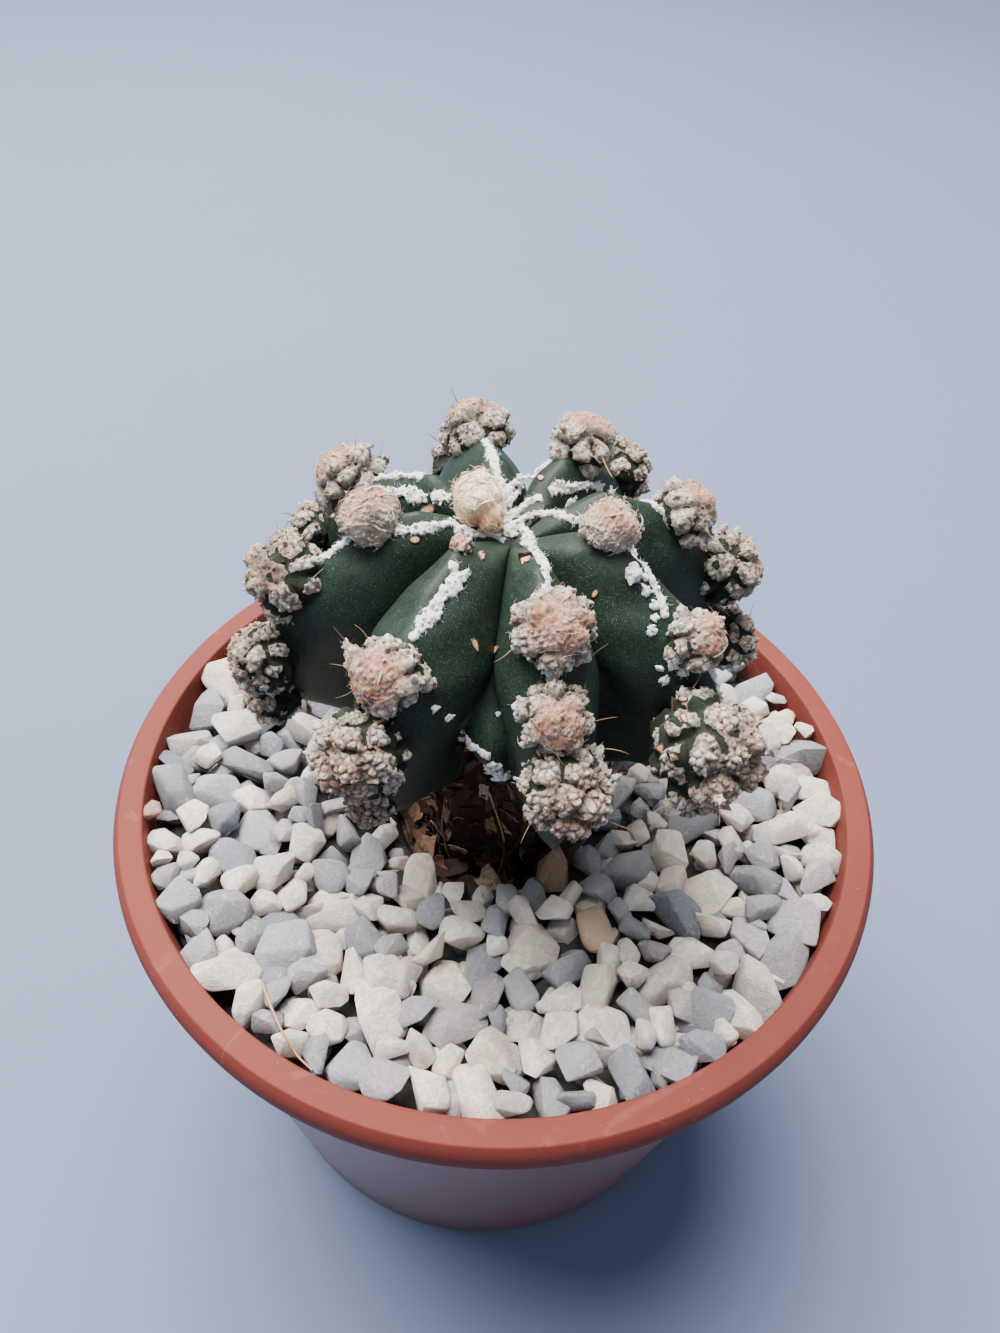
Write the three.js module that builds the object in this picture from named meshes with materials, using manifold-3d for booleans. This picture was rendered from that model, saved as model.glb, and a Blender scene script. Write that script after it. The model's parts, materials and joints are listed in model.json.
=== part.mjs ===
// A bishop's cap cactus of the knobbly-ribbed form, in a plastic pot topped with gravel.
// Millimetres, +Z up. The origin is under the middle of the pot, and the plant's front faces -Y.
// Azimuths are in degrees about the pot's axis: 0 is the front, and they grow towards +X.

import * as THREE from 'three';
import { mergeVertices } from 'three/addons/utils/BufferGeometryUtils.js';
import Module from 'manifold-3d';

const wasm = await Module();
wasm.setup();

// Left between two pieces that touch
const CLEARANCE = 0.35;

// Pot
const POT_HEIGHT = 71;
const RIM_RADIUS = 50;
const BASE_RADIUS = 37.5;
const WALL_TOP_RADIUS = 47.5;
const WALL = 1.5;
const FLOOR_TOP = 3;
const FOOT_RECESS = 1.2;
const FOOT_WIDTH = 4;
const LIP_DEPTH = 4.6;
const LIP_WALL = 1.4;
const LIP_TOP_WALL = 1.8;
const LIP_ROUND = 1;
const LIP_DRAFT = 0.2;
const EDGE_BREAK = 0.4;
const FLOOR_FILLET = 1.5;
const POT_SIDES = 44;
const DRAIN_HOLES = 6;
const DRAIN_RADIUS = 1.95;
const DRAIN_CIRCLE = 22;

// Soil and gravel
const SOIL_TOP = POT_HEIGHT - 10.5;
const NECK_HOLE_RADIUS = 11;
const NECK_HOLE_DEPTH = 16;
const BED_TOP = POT_HEIGHT - 5.8;
const HOLLOW_RADIUS = 13.2;
const HOLLOW_TOP_RADIUS = 15.5;
const STONES = 120;
const STONE_LENGTH = 7;
const STONE_TAPER = 0.72;
const STONE_RING = [17, 41.6];

// Plant. Its ribs are spanned between a line along a rib's crest and one along the groove beside
// it. Each line is four curves in (radius, height above the rim), and a place along it is u,
// from 0 at the sunken crown, past the shoulder at 1, the waist at 2 and the neck at 3, to 4,
// the root end in the soil.
const CREST = [
  [[0, 38], [3, 38.8], [6, 41.8], [10, 42.5]],
  [[10, 42.5], [18.5, 40.5], [26.5, 31], [26.5, 20]],
  [[26.5, 20], [26.5, 12], [13.5, 9], [11.5, 0]],
  [[11.5, 0], [10.5, -6], [9.8, -14], [8, -26]],
];
const GROOVE = [
  [[0, 38], [1, 38.3], [2.5, 38.8], [5, 38]],
  [[5, 38], [14, 36], [16.5, 28], [13.5, 19]],
  [[13.5, 19], [11.5, 13], [9.5, 8], [9.3, 0]],
  [[9.3, 0], [9.2, -6], [9, -14], [7.6, -26]],
];
const ROWS = [4, 7, 6, 3];
const RIB_STATIONS = [-1, -0.8, -0.55, -0.28, 0, 0.28, 0.55, 0.8];
const DRIFT_REACH = 0.45;
const WAIST = POT_HEIGHT + 20;

// Each rib: the azimuth of its crest, how far the crest swings aside near the crown, the azimuth
// of the groove after it, and its wool heads, as [u, degrees beside the crest, radius]
const RIBS = [
  {
    crest: -30, drift: -30, groove: -2,
    heads: [[0.78, -2, 1.4], [1.45, -3, 3.9], [1.76, -6, 4.8], [2, 2, 2.9]],
  },
  {
    crest: 14, drift: 18, groove: 38,
    heads: [[1.22, 1, 4], [1.51, 0, 3.5], [1.76, 1, 4.7]],
  },
  {
    crest: 62, drift: 24, groove: 86,
    heads: [[1, 7, 3.4], [1.45, 2, 3.3], [1.82, -3, 5.3], [2.12, 2, 3.2]],
  },
  {
    crest: 107, drift: 10, groove: 129,
    heads: [[1.36, 0, 3.9], [1.68, -2, 4.6], [1.98, -5, 3.8]],
  },
  {
    crest: 150, drift: 0, groove: 173,
    heads: [[1.15, 0, 4], [1.53, -3, 4], [1.86, 2, 4.2]],
  },
  {
    crest: 196, drift: 0, groove: 219,
    heads: [[1.28, 0, 4.6], [1.68, 1, 4.2], [1.99, -2, 3.6]],
  },
  {
    crest: 242, drift: 0, groove: 261,
    heads: [[1.42, 0, 4.4], [1.74, 2, 3.8], [2.04, -2, 3.4]],
  },
  {
    crest: 280, drift: 0, groove: 302,
    heads: [[1.14, -2, 3.8], [1.56, -2, 4.7], [1.86, 4, 4.3], [2.12, 3, 3.3]],
  },
];

// Small ribs that rise in the grooves: azimuth, half width in degrees, the u where each begins,
// and its height as a share of the way to the crests
const SMALL_RIBS = [
  { azimuth: -1, halfWidth: 11, start: 1.62, height: 0.6 },
  { azimuth: 129, halfWidth: 9, start: 1.8, height: 0.5 },
  { azimuth: 219, halfWidth: 9, start: 1.7, height: 0.55 },
  { azimuth: 302, halfWidth: 8, start: 1.85, height: 0.45 },
];
const SMALL_RIB_RAMP = 0.3;

// The green lobe under a wool head, as shares of the head's radius, and the most it may swell
const LOBE_HEIGHT = 0.28;
const LOBE_REACH = 1.1;
const LOBE_MOST = 1.6;

// Wool
const HEAD_SEAT = 0.36;
const SMALL_HEAD = 2;
const KNOB_VALLEY = 0.72;
const HEAD_SPINES = 2;
const SPINE_LENGTH = 3.4;
const SPINE_RADIUS = 0.3;
const FELT_WIDTH = 2.1;
const FELT_HEIGHT = 0.9;
const FELT_START = 0.42;
const FELT_STEP = 0.02;
const FELT_ROW = 2.2;
const FELT_SHORTEST = 2;
const FELT_ROOM = 0.8;
const CROWN_WOOL = { azimuth: -105, radius: 4, height: 42.4, size: 3.1 };
const CROWN_RIDGE = 0.07;

// Colours
const TERRACOTTA = 0xa5523f;
const DARK_SOIL = 0x3a2a20;
const PALE_STONE = 0xb9b5aa;
const CACTUS_GREEN = 0x2c4436;
const PINK_WOOL = 0xcbb3a3;
const WHITE_FELT = 0xdedcd6;
const CREAM_WOOL = 0xe3d3ad;

const GOLDEN_ANGLE = Math.PI * (3 - Math.sqrt(5));
const radians = THREE.MathUtils.degToRad;
const lerp = THREE.MathUtils.lerp;

// A repeatable source of numbers from 0 to 1
function randomSource(seed) {
  let state = seed;
  return () => {
    state = (state + 0x6d2b79f5) | 0;
    let mixed = Math.imul(state ^ (state >>> 15), 1 | state);
    mixed = (mixed + Math.imul(mixed ^ (mixed >>> 7), 61 | mixed)) ^ mixed;
    return ((mixed ^ (mixed >>> 14)) >>> 0) / 4294967296;
  };
}

// A number near a middle value, up to a spread to either side of it
function vary(random, middle, spread) {
  return middle + spread * (2 * random() - 1);
}

// A closed geometry with each shared corner stored once
function joined(geometry) {
  const plain = geometry.clone();
  plain.deleteAttribute('normal');
  plain.deleteAttribute('uv');
  return mergeVertices(plain, 1e-4);
}

function solid(geometry) {
  const merged = joined(geometry);
  return new wasm.Manifold(new wasm.Mesh({
    numProp: 3,
    vertProperties: new Float32Array(merged.attributes.position.array),
    triVerts: new Uint32Array(merged.index.array),
  }));
}

// The largest connected part of a solid, without scraps that a cut left
function largest(shape) {
  const parts = shape.decompose();
  return parts.reduce((best, part) => (part.volume() > best.volume() ? part : best));
}

function geometryOf(shape) {
  const mesh = shape.getMesh();
  const geometry = new THREE.BufferGeometry();
  geometry.setAttribute('position', new THREE.BufferAttribute(mesh.vertProperties, 3));
  geometry.setIndex(new THREE.BufferAttribute(mesh.triVerts, 1));
  return geometry;
}

// A profile of [radius, height] points turned about the upright axis
function turned(profile, sides) {
  const points = profile.map(([radius, height]) => new THREE.Vector2(radius, height));
  return new THREE.LatheGeometry(points, sides).rotateX(Math.PI / 2);
}

// A point at an azimuth, a distance from the axis and a height
function around(azimuth, radius, height) {
  const angle = radians(azimuth);
  return new THREE.Vector3(radius * Math.sin(angle), -radius * Math.cos(angle), height);
}

// Pot

function outerWall(height) {
  return lerp(BASE_RADIUS, WALL_TOP_RADIUS, height / POT_HEIGHT);
}

function innerWall(height) {
  return outerWall(height) - WALL;
}

function pot() {
  const lipLow = POT_HEIGHT - LIP_DEPTH;
  const lipUnder = POT_HEIGHT - LIP_TOP_WALL;
  const lipRound = [0, 30, 60, 90].map((step) => [
    RIM_RADIUS - LIP_ROUND + LIP_ROUND * Math.cos(radians(step)),
    POT_HEIGHT - LIP_ROUND + LIP_ROUND * Math.sin(radians(step)),
  ]);
  const profile = [
    [0, FOOT_RECESS],
    [BASE_RADIUS - FOOT_WIDTH, FOOT_RECESS],
    [BASE_RADIUS - FOOT_WIDTH, 0],
    [BASE_RADIUS - EDGE_BREAK, 0],
    [outerWall(EDGE_BREAK), EDGE_BREAK],
    [outerWall(lipUnder), lipUnder],
    [RIM_RADIUS - LIP_WALL, lipUnder],
    [RIM_RADIUS - LIP_WALL + LIP_DRAFT, lipLow],
    [RIM_RADIUS - LIP_DRAFT, lipLow],
    ...lipRound,
    [innerWall(POT_HEIGHT) + EDGE_BREAK, POT_HEIGHT],
    [innerWall(POT_HEIGHT - EDGE_BREAK), POT_HEIGHT - EDGE_BREAK],
    [innerWall(FLOOR_TOP + FLOOR_FILLET), FLOOR_TOP + FLOOR_FILLET],
    [innerWall(FLOOR_TOP) - FLOOR_FILLET, FLOOR_TOP],
    [0, FLOOR_TOP],
  ];
  let shape = solid(turned(profile, POT_SIDES));
  for (let hole = 0; hole < DRAIN_HOLES; hole++) {
    const drill = new THREE.CylinderGeometry(DRAIN_RADIUS, DRAIN_RADIUS, 3 * FLOOR_TOP, 8);
    drill.rotateX(Math.PI / 2);
    const spot = around(hole * 360 / DRAIN_HOLES, DRAIN_CIRCLE, FLOOR_TOP / 2);
    drill.translate(spot.x, spot.y, spot.z);
    shape = shape.subtract(solid(drill));
  }
  return geometryOf(shape);
}

// Soil, with a plain hole for the plant's neck

function soil() {
  const low = FLOOR_TOP + CLEARANCE;
  const holeLow = SOIL_TOP - NECK_HOLE_DEPTH;
  return joined(turned([
    [0, low],
    [innerWall(low) - FLOOR_FILLET - CLEARANCE, low],
    [innerWall(low + FLOOR_FILLET) - CLEARANCE, low + FLOOR_FILLET],
    [innerWall(SOIL_TOP) - CLEARANCE, SOIL_TOP],
    [NECK_HOLE_RADIUS, SOIL_TOP],
    [NECK_HOLE_RADIUS, holeLow],
    [0, holeLow],
  ], POT_SIDES));
}

// Gravel: a bed with stones sunk in it, left open round the neck

function stone(random) {
  const geometry = joined(new THREE.BoxGeometry(1, 1, 1));
  const places = geometry.attributes.position;
  for (let index = 0; index < places.count; index++) {
    const taper = places.getZ(index) > 0 ? STONE_TAPER : 1;
    places.setXYZ(
      index,
      places.getX(index) * taper * vary(random, 1, 0.2),
      places.getY(index) * taper * vary(random, 1, 0.2),
      places.getZ(index) * vary(random, 1, 0.2),
    );
  }
  const length = STONE_LENGTH * vary(random, 1, 0.2);
  geometry.scale(length, length * vary(random, 0.78, 0.12), length * vary(random, 0.57, 0.07));
  geometry.rotateX(vary(random, 0, 0.3));
  geometry.rotateY(vary(random, 0, 0.2));
  geometry.rotateZ(vary(random, 0, Math.PI));
  return geometry;
}

function gravel() {
  const random = randomSource(11);
  const bedLow = SOIL_TOP + CLEARANCE;
  const ring = [
    [HOLLOW_RADIUS, bedLow],
    [innerWall(bedLow) - CLEARANCE, bedLow],
    [innerWall(BED_TOP) - CLEARANCE, BED_TOP],
    [HOLLOW_TOP_RADIUS, BED_TOP],
    [HOLLOW_RADIUS, bedLow],
  ];
  const room = solid(turned([
    [0, bedLow],
    [innerWall(bedLow) - CLEARANCE, bedLow],
    [innerWall(POT_HEIGHT) - CLEARANCE, POT_HEIGHT],
    [0, POT_HEIGHT],
  ], POT_SIDES));
  const stones = [];
  const [near, far] = STONE_RING;
  for (let index = 0; index < STONES; index++) {
    const share = (index + 0.5) / STONES;
    const radius = Math.sqrt(lerp(near * near, far * far, share)) + vary(random, 0, 0.4);
    const azimuth = THREE.MathUtils.radToDeg(index * GOLDEN_ANGLE);
    const spot = around(azimuth, radius, BED_TOP + vary(random, 0.25, 0.25));
    const pebble = stone(random);
    pebble.translate(spot.x, spot.y, spot.z);
    stones.push(solid(pebble));
  }
  const bed = solid(turned(ring, POT_SIDES));
  return geometryOf(largest(wasm.Manifold.union(stones).intersect(room).add(bed)));
}

// Plant body

function along(stretches, u) {
  const index = Math.min(Math.floor(u), stretches.length - 1);
  const corners = stretches[index].map(([radius, height]) => new THREE.Vector2(radius, height));
  return new THREE.CubicBezierCurve(...corners).getPoint(u - index);
}

function crestAzimuth(rib, u) {
  return rib.crest + rib.drift * Math.exp(-u / DRIFT_REACH);
}

// The azimuth of a place across a rib, from -1 in the groove before it to 1 in the one after
function azimuthAcross(ribIndex, u, across) {
  const rib = RIBS[ribIndex];
  const crest = crestAzimuth(rib, u);
  const before = ribIndex > 0 ? RIBS[ribIndex - 1].groove : RIBS[RIBS.length - 1].groove - 360;
  return across < 0 ? crest + across * (crest - before) : crest + across * (rib.groove - crest);
}

// How far from the groove to the crest a rib stands, from 0 to 1
function fullness(across) {
  return Math.max(0, 1 - Math.abs(across) ** 1.35) ** 0.62;
}

function smallRibFullness(azimuth, u) {
  let most = 0;
  for (const { azimuth: middle, halfWidth, start, height } of SMALL_RIBS) {
    const aside = Math.abs(THREE.MathUtils.euclideanModulo(azimuth - middle + 180, 360) - 180) / halfWidth;
    const rise = THREE.MathUtils.smoothstep(u, start, start + SMALL_RIB_RAMP);
    most = Math.max(most, height * rise * fullness(Math.min(aside, 1)));
  }
  return most;
}

// A place on the ribs before the lobes swell it
function ribPlace(ribIndex, u, across) {
  const azimuth = azimuthAcross(ribIndex, u, across);
  const full = Math.max(fullness(across), smallRibFullness(azimuth, u));
  const place = along(GROOVE, u).lerp(along(CREST, u), full);
  return around(azimuth, place.x, POT_HEIGHT + place.y);
}

// Every wool head, with its rib and the place on the crest that carries it
const HEADS = RIBS.flatMap((rib, ribIndex) => rib.heads.map(([u, aside, radius], order) => {
  const place = along(CREST, u);
  const azimuth = crestAzimuth(rib, u) + aside;
  return { ribIndex, order, u, radius, base: around(azimuth, place.x, POT_HEIGHT + place.y) };
}));

function outward(place) {
  return new THREE.Vector3(place.x, place.y, place.z - WAIST).normalize();
}

// The skin: the ribs, swelled into a lobe under each wool head
function skinPlace(ribIndex, u, across) {
  const place = ribPlace(ribIndex, u, across);
  let swell = 0;
  for (const { base, radius } of HEADS) {
    const distance = place.distanceTo(base) / (LOBE_REACH * radius);
    swell += LOBE_HEIGHT * radius * Math.exp(-distance * distance);
  }
  return place.addScaledVector(outward(place), Math.min(swell, LOBE_MOST));
}

// A sphere's grid with each corner moved onto the skin
function body() {
  const rows = ROWS.reduce((sum, count) => sum + count);
  const columns = RIBS.length * RIB_STATIONS.length;
  const geometry = new THREE.SphereGeometry(1, columns, rows);
  const places = geometry.attributes.position;
  const rowPlaces = ROWS.flatMap((count, stretch) => (
    Array.from({ length: count }, (_, step) => stretch + step / count)
  ));
  rowPlaces.push(ROWS.length);
  for (let row = 0; row <= rows; row++) {
    for (let column = 0; column <= columns; column++) {
      const station = column % columns;
      const ribIndex = Math.floor(station / RIB_STATIONS.length);
      const across = RIB_STATIONS[station % RIB_STATIONS.length];
      const spot = row === 0 || row === rows
        ? new THREE.Vector3(0, 0, POT_HEIGHT + along(CREST, rowPlaces[row]).y)
        : skinPlace(ribIndex, rowPlaces[row], across);
      places.setXYZ(row * (columns + 1) + column, spot.x, spot.y, spot.z);
    }
  }
  return joined(geometry);
}

// The same closed surface, moved outwards along its own normals
function grown(geometry, distance) {
  const larger = geometry.clone();
  larger.computeVertexNormals();
  const places = larger.attributes.position;
  const normals = larger.attributes.normal;
  for (let index = 0; index < places.count; index++) {
    places.setXYZ(
      index,
      places.getX(index) + distance * normals.getX(index),
      places.getY(index) + distance * normals.getY(index),
      places.getZ(index) + distance * normals.getZ(index),
    );
  }
  return larger;
}

// Wool heads: a ball raised into twelve uneven knobs, with a few spines standing out of it

const KNOB_CORNERS = joined(new THREE.IcosahedronGeometry(1, 0)).attributes.position;
const KNOB_AXES = Array.from({ length: KNOB_CORNERS.count }, (_, index) => (
  new THREE.Vector3().fromBufferAttribute(KNOB_CORNERS, index)
));

function spine(foot, direction) {
  const geometry = new THREE.ConeGeometry(SPINE_RADIUS, SPINE_LENGTH, 3);
  geometry.translate(0, SPINE_LENGTH / 2, 0);
  geometry.applyQuaternion(new THREE.Quaternion().setFromUnitVectors(new THREE.Vector3(0, 1, 0), direction));
  return solid(geometry.translate(foot.x, foot.y, foot.z));
}

function headCentre(head) {
  return head.base.clone().addScaledVector(outward(head.base), HEAD_SEAT * head.radius);
}

// The ball of one head, made larger by growth where it clears a neighbour
function knobbledBall(head, growth) {
  const random = randomSource(100 + 10 * head.ribIndex + head.order);
  const heights = KNOB_AXES.map(() => vary(random, 0.96, 0.1));
  const geometry = joined(new THREE.IcosahedronGeometry(1, head.radius > SMALL_HEAD ? 2 : 1));
  const places = geometry.attributes.position;
  for (let index = 0; index < places.count; index++) {
    const direction = new THREE.Vector3().fromBufferAttribute(places, index);
    let reach = KNOB_VALLEY;
    KNOB_AXES.forEach((axis, knob) => {
      const rise = THREE.MathUtils.smoothstep(direction.dot(axis), 0.8, 0.98);
      reach = Math.max(reach, lerp(KNOB_VALLEY, heights[knob], rise));
    });
    direction.multiplyScalar(reach * head.radius + growth);
    places.setXYZ(index, direction.x, direction.y, direction.z);
  }
  geometry.rotateX(3 * random());
  geometry.rotateZ(6 * random());
  const centre = headCentre(head);
  return solid(geometry.translate(centre.x, centre.y, centre.z));
}

function woolHead(head) {
  const random = randomSource(500 + 10 * head.ribIndex + head.order);
  const axis = outward(head.base);
  const centre = headCentre(head);
  const toAxis = new THREE.Quaternion().setFromUnitVectors(new THREE.Vector3(0, 0, 1), axis);
  const pieces = [knobbledBall(head, 0)];
  const count = head.radius > SMALL_HEAD ? HEAD_SPINES : 1;
  for (let index = 0; index < count; index++) {
    const turn = 2 * Math.PI * (index + random()) / count;
    const direction = new THREE.Vector3(Math.cos(turn), Math.sin(turn), 0.5 + random()).normalize();
    direction.applyQuaternion(toAxis);
    pieces.push(spine(centre.clone().addScaledVector(direction, 0.6 * head.radius), direction));
  }
  return wasm.Manifold.union(pieces);
}

// Felt on the bare stretches of a rib's crest: above its first head and between its heads

function feltStretches(ribIndex) {
  const heads = HEADS.filter((head) => head.ribIndex === ribIndex);
  const obstacles = heads.map((head) => ({ centre: headCentre(head), radius: 1.06 * head.radius }));
  obstacles.push({ centre: crownCentre(), radius: 1.1 * CROWN_WOOL.size });
  const clear = (u) => obstacles.every(({ centre, radius }) => (
    skinPlace(ribIndex, u, 0).distanceTo(centre) > radius + FELT_ROOM
  ));
  const stretches = [];
  let start = null;
  for (let u = FELT_START; u < heads[heads.length - 1].u; u += FELT_STEP) {
    if (clear(u)) {
      start = start ?? u;
    } else if (start !== null) {
      stretches.push([start, u - FELT_STEP]);
      start = null;
    }
  }
  const lengthOf = ([from, to]) => along(CREST, from).distanceTo(along(CREST, to));
  return stretches.filter((stretch) => lengthOf(stretch) > FELT_SHORTEST);
}

// A cylinder's grid laid along the crest: its lower side follows the skin, its upper side is domed
function felt(ribIndex, [start, end]) {
  const random = randomSource(900 + ribIndex);
  const rows = Math.max(2, Math.round(along(CREST, start).distanceTo(along(CREST, end)) / FELT_ROW));
  const geometry = joined(new THREE.CylinderGeometry(1, 1, 1, 6, rows));
  const places = geometry.attributes.position;
  const widths = Array.from({ length: rows + 1 }, () => vary(random, 1, 0.2));
  for (let index = 0; index < places.count; index++) {
    const share = places.getY(index) + 0.5;
    const u = lerp(start, end, share);
    const width = FELT_WIDTH / 2 * widths[Math.round(share * rows)];
    const rib = RIBS[ribIndex];
    const halfRib = along(CREST, u).x * radians(rib.groove - rib.crest);
    const across = THREE.MathUtils.clamp(-width * places.getX(index) / halfRib, -0.7, 0.7);
    const height = CLEARANCE + FELT_HEIGHT * Math.max(0, places.getZ(index)) ** 0.7;
    const place = skinPlace(ribIndex, u, across);
    place.addScaledVector(outward(place), height);
    places.setXYZ(index, place.x, place.y, place.z);
  }
  return geometry;
}

// Crown wool: a ball wound with slanting ridges

function crownCentre() {
  return around(CROWN_WOOL.azimuth, CROWN_WOOL.radius, POT_HEIGHT + CROWN_WOOL.height);
}

function crownWool() {
  const geometry = new THREE.IcosahedronGeometry(1, 2);
  const places = geometry.attributes.position;
  for (let index = 0; index < places.count; index++) {
    const place = new THREE.Vector3().fromBufferAttribute(places, index);
    const ridge = 1 + CROWN_RIDGE * Math.sin(5 * Math.atan2(place.y, place.x) + 4 * place.z);
    place.multiplyScalar(CROWN_WOOL.size * ridge);
    places.setXYZ(index, place.x, place.y, place.z);
  }
  const centre = crownCentre();
  return solid(geometry.translate(centre.x, centre.y, centre.z));
}

// Assembly

const cactus = new THREE.Group();

function add(name, geometry, color, roughness) {
  const mesh = new THREE.Mesh(geometry, new THREE.MeshStandardMaterial({ color, roughness, metalness: 0 }));
  mesh.name = name;
  cactus.add(mesh);
}

add('pot', pot(), TERRACOTTA, 0.5);
add('soil', soil(), DARK_SOIL, 1);
add('gravel', gravel(), PALE_STONE, 0.85);

const bodyGeometry = body();
add('cactus_body', bodyGeometry, CACTUS_GREEN, 0.6);

const aroundBody = solid(grown(bodyGeometry, CLEARANCE));
add('crown_wool', geometryOf(largest(crownWool().subtract(aroundBody))), CREAM_WOOL, 0.95);

HEADS.forEach((head, index) => {
  let shape = woolHead(head).subtract(aroundBody);
  const previous = HEADS[index - 1];
  if (previous && previous.ribIndex === head.ribIndex) {
    shape = shape.subtract(knobbledBall(previous, CLEARANCE));
  }
  add(`wool_${head.ribIndex + 1}_${head.order + 1}`, geometryOf(largest(shape)), PINK_WOOL, 0.95);
});

RIBS.forEach((rib, ribIndex) => {
  feltStretches(ribIndex).forEach((stretch, order) => {
    add(`felt_${ribIndex + 1}_${order + 1}`, felt(ribIndex, stretch), WHITE_FELT, 0.95);
  });
});

export default cactus;
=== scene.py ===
# %% [markdown]
# # A potted bishop's cap cactus, piece by piece
# The plant has eight thick ribs with white felt along their crests and woolly heads where the flowers and
# buds break. It stands in a shallow hollow among crushed limestone, in a terracotta-coloured plastic pot.
# The imported model gives the size of the whole and the node that each piece stands for. This lesson
# dresses each one with a finer mesh and a finish of its own. Most pieces lie where their nodes do, but
# some of the woolly heads lie up to about 5 mm from theirs.

# %% Load the frame
import json
import math

import bmesh
import bpy
import numpy as np
from mathutils import Matrix, Vector
from mathutils.bvhtree import BVHTree

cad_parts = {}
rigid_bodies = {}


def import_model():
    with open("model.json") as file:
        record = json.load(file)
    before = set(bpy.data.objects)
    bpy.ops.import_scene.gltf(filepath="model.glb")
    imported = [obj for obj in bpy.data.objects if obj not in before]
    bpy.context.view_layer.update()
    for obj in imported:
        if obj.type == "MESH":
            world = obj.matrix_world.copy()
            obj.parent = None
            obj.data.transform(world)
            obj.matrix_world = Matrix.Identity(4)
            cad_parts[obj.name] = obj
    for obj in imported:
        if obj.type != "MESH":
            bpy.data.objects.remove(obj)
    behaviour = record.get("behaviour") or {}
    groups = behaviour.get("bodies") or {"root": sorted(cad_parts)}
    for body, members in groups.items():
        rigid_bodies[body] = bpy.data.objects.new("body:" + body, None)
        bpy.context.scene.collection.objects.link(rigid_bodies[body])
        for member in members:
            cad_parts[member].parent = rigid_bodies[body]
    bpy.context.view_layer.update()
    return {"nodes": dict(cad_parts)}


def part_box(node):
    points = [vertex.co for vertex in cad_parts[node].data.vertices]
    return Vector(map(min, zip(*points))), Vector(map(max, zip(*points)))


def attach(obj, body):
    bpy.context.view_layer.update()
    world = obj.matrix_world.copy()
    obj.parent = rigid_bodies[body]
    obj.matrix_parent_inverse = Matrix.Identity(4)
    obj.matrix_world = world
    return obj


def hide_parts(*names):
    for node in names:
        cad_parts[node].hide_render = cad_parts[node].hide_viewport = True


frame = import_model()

MM = 0.001
print("nodes in the frame:", len(frame["nodes"]))

# %% [markdown]
# Everything is worked out in millimetres and in turns about the pot's axis, as a grower would measure the
# plant: an azimuth in degrees, counted from the front of the pot towards its right side, a distance from
# the axis and a height. The pot's own height and rim come from the frame.

# %% Driving sizes
pot_low, pot_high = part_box("pot")
POT_HEIGHT = pot_high.z / MM
RIM_RADIUS = (pot_high.x - pot_low.x) / 2 / MM


def around(azimuth, radius, height):
    """Places at azimuths in degrees, radii and heights, one row each."""
    angle = np.radians(azimuth)
    return np.stack(np.broadcast_arrays(radius * np.sin(angle), -radius * np.cos(angle), height), -1)


print("pot height and rim radius in mm:", round(POT_HEIGHT, 2), round(RIM_RADIUS, 2))

# %% [markdown]
# The camera comes first, because every choice of detail depends on what it sees. The rim of the pot is a
# circle, and the shape of its ellipse in the picture gives the place and tilt of a wide phone lens held
# close: about two rim radii above the rim, looking down at 45 degrees.

# %% Camera
CAMERA_BACK = 1.689 * RIM_RADIUS
CAMERA_ABOVE_RIM = 2.103 * RIM_RADIUS
CAMERA_PAN = math.radians(-0.34)
CAMERA_TILT = math.radians(45.61)
CAMERA_ROLL = math.radians(3.23)
SENSOR = 36
PICTURE_WIDTH = 1000
PICTURE_HEIGHT = 1333
FOCAL_PIXELS = 1000


def build_camera():
    data = bpy.data.cameras.new("photo_view")
    data.sensor_width = SENSOR
    data.lens = SENSOR * FOCAL_PIXELS / PICTURE_HEIGHT
    data.clip_start = 0.001
    forward = Vector((
        math.sin(CAMERA_PAN) * math.cos(CAMERA_TILT),
        math.cos(CAMERA_PAN) * math.cos(CAMERA_TILT),
        -math.sin(CAMERA_TILT),
    ))
    level = forward.cross(Vector((0, 0, 1))).normalized()
    raised = level.cross(forward)
    right = level * math.cos(CAMERA_ROLL) + raised * math.sin(CAMERA_ROLL)
    up = raised * math.cos(CAMERA_ROLL) - level * math.sin(CAMERA_ROLL)
    camera = bpy.data.objects.new("photo_view", data)
    camera.matrix_world = Matrix((right, up, -forward)).transposed().to_4x4()
    camera.location = (0, -CAMERA_BACK * MM, (POT_HEIGHT + CAMERA_ABOVE_RIM) * MM)
    bpy.context.scene.collection.objects.link(camera)
    bpy.context.scene.camera = camera
    return camera


camera = build_camera()
bpy.context.view_layer.update()


def ray_through(pixel):
    """The eye in mm, and the direction in which it sees a pixel of the picture."""
    view = camera.matrix_world
    way = Vector((pixel[0] - PICTURE_WIDTH / 2, PICTURE_HEIGHT / 2 - pixel[1], -FOCAL_PIXELS))
    return view.translation / MM, (view.to_3x3() @ way).normalized()


def seen_at_height(pixel, height):
    """The place on the flat that is seen at a pixel, if it lies at that height."""
    eye, way = ray_through(pixel)
    spot = eye + way * ((height - eye.z) / way.z)
    return np.array(spot[:2])


print("camera in mm:", [round(value / MM, 1) for value in camera.location])

# %% [markdown]
# Node trees are easier to read as sums than as wires. The class below wraps an output of a node, so that
# an expression such as 1 - mask * 0.5 adds its own Math nodes. A board wraps a whole tree, of a material
# or of geometry, and has one method that adds any other node.

# %% Boards and wires


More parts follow.
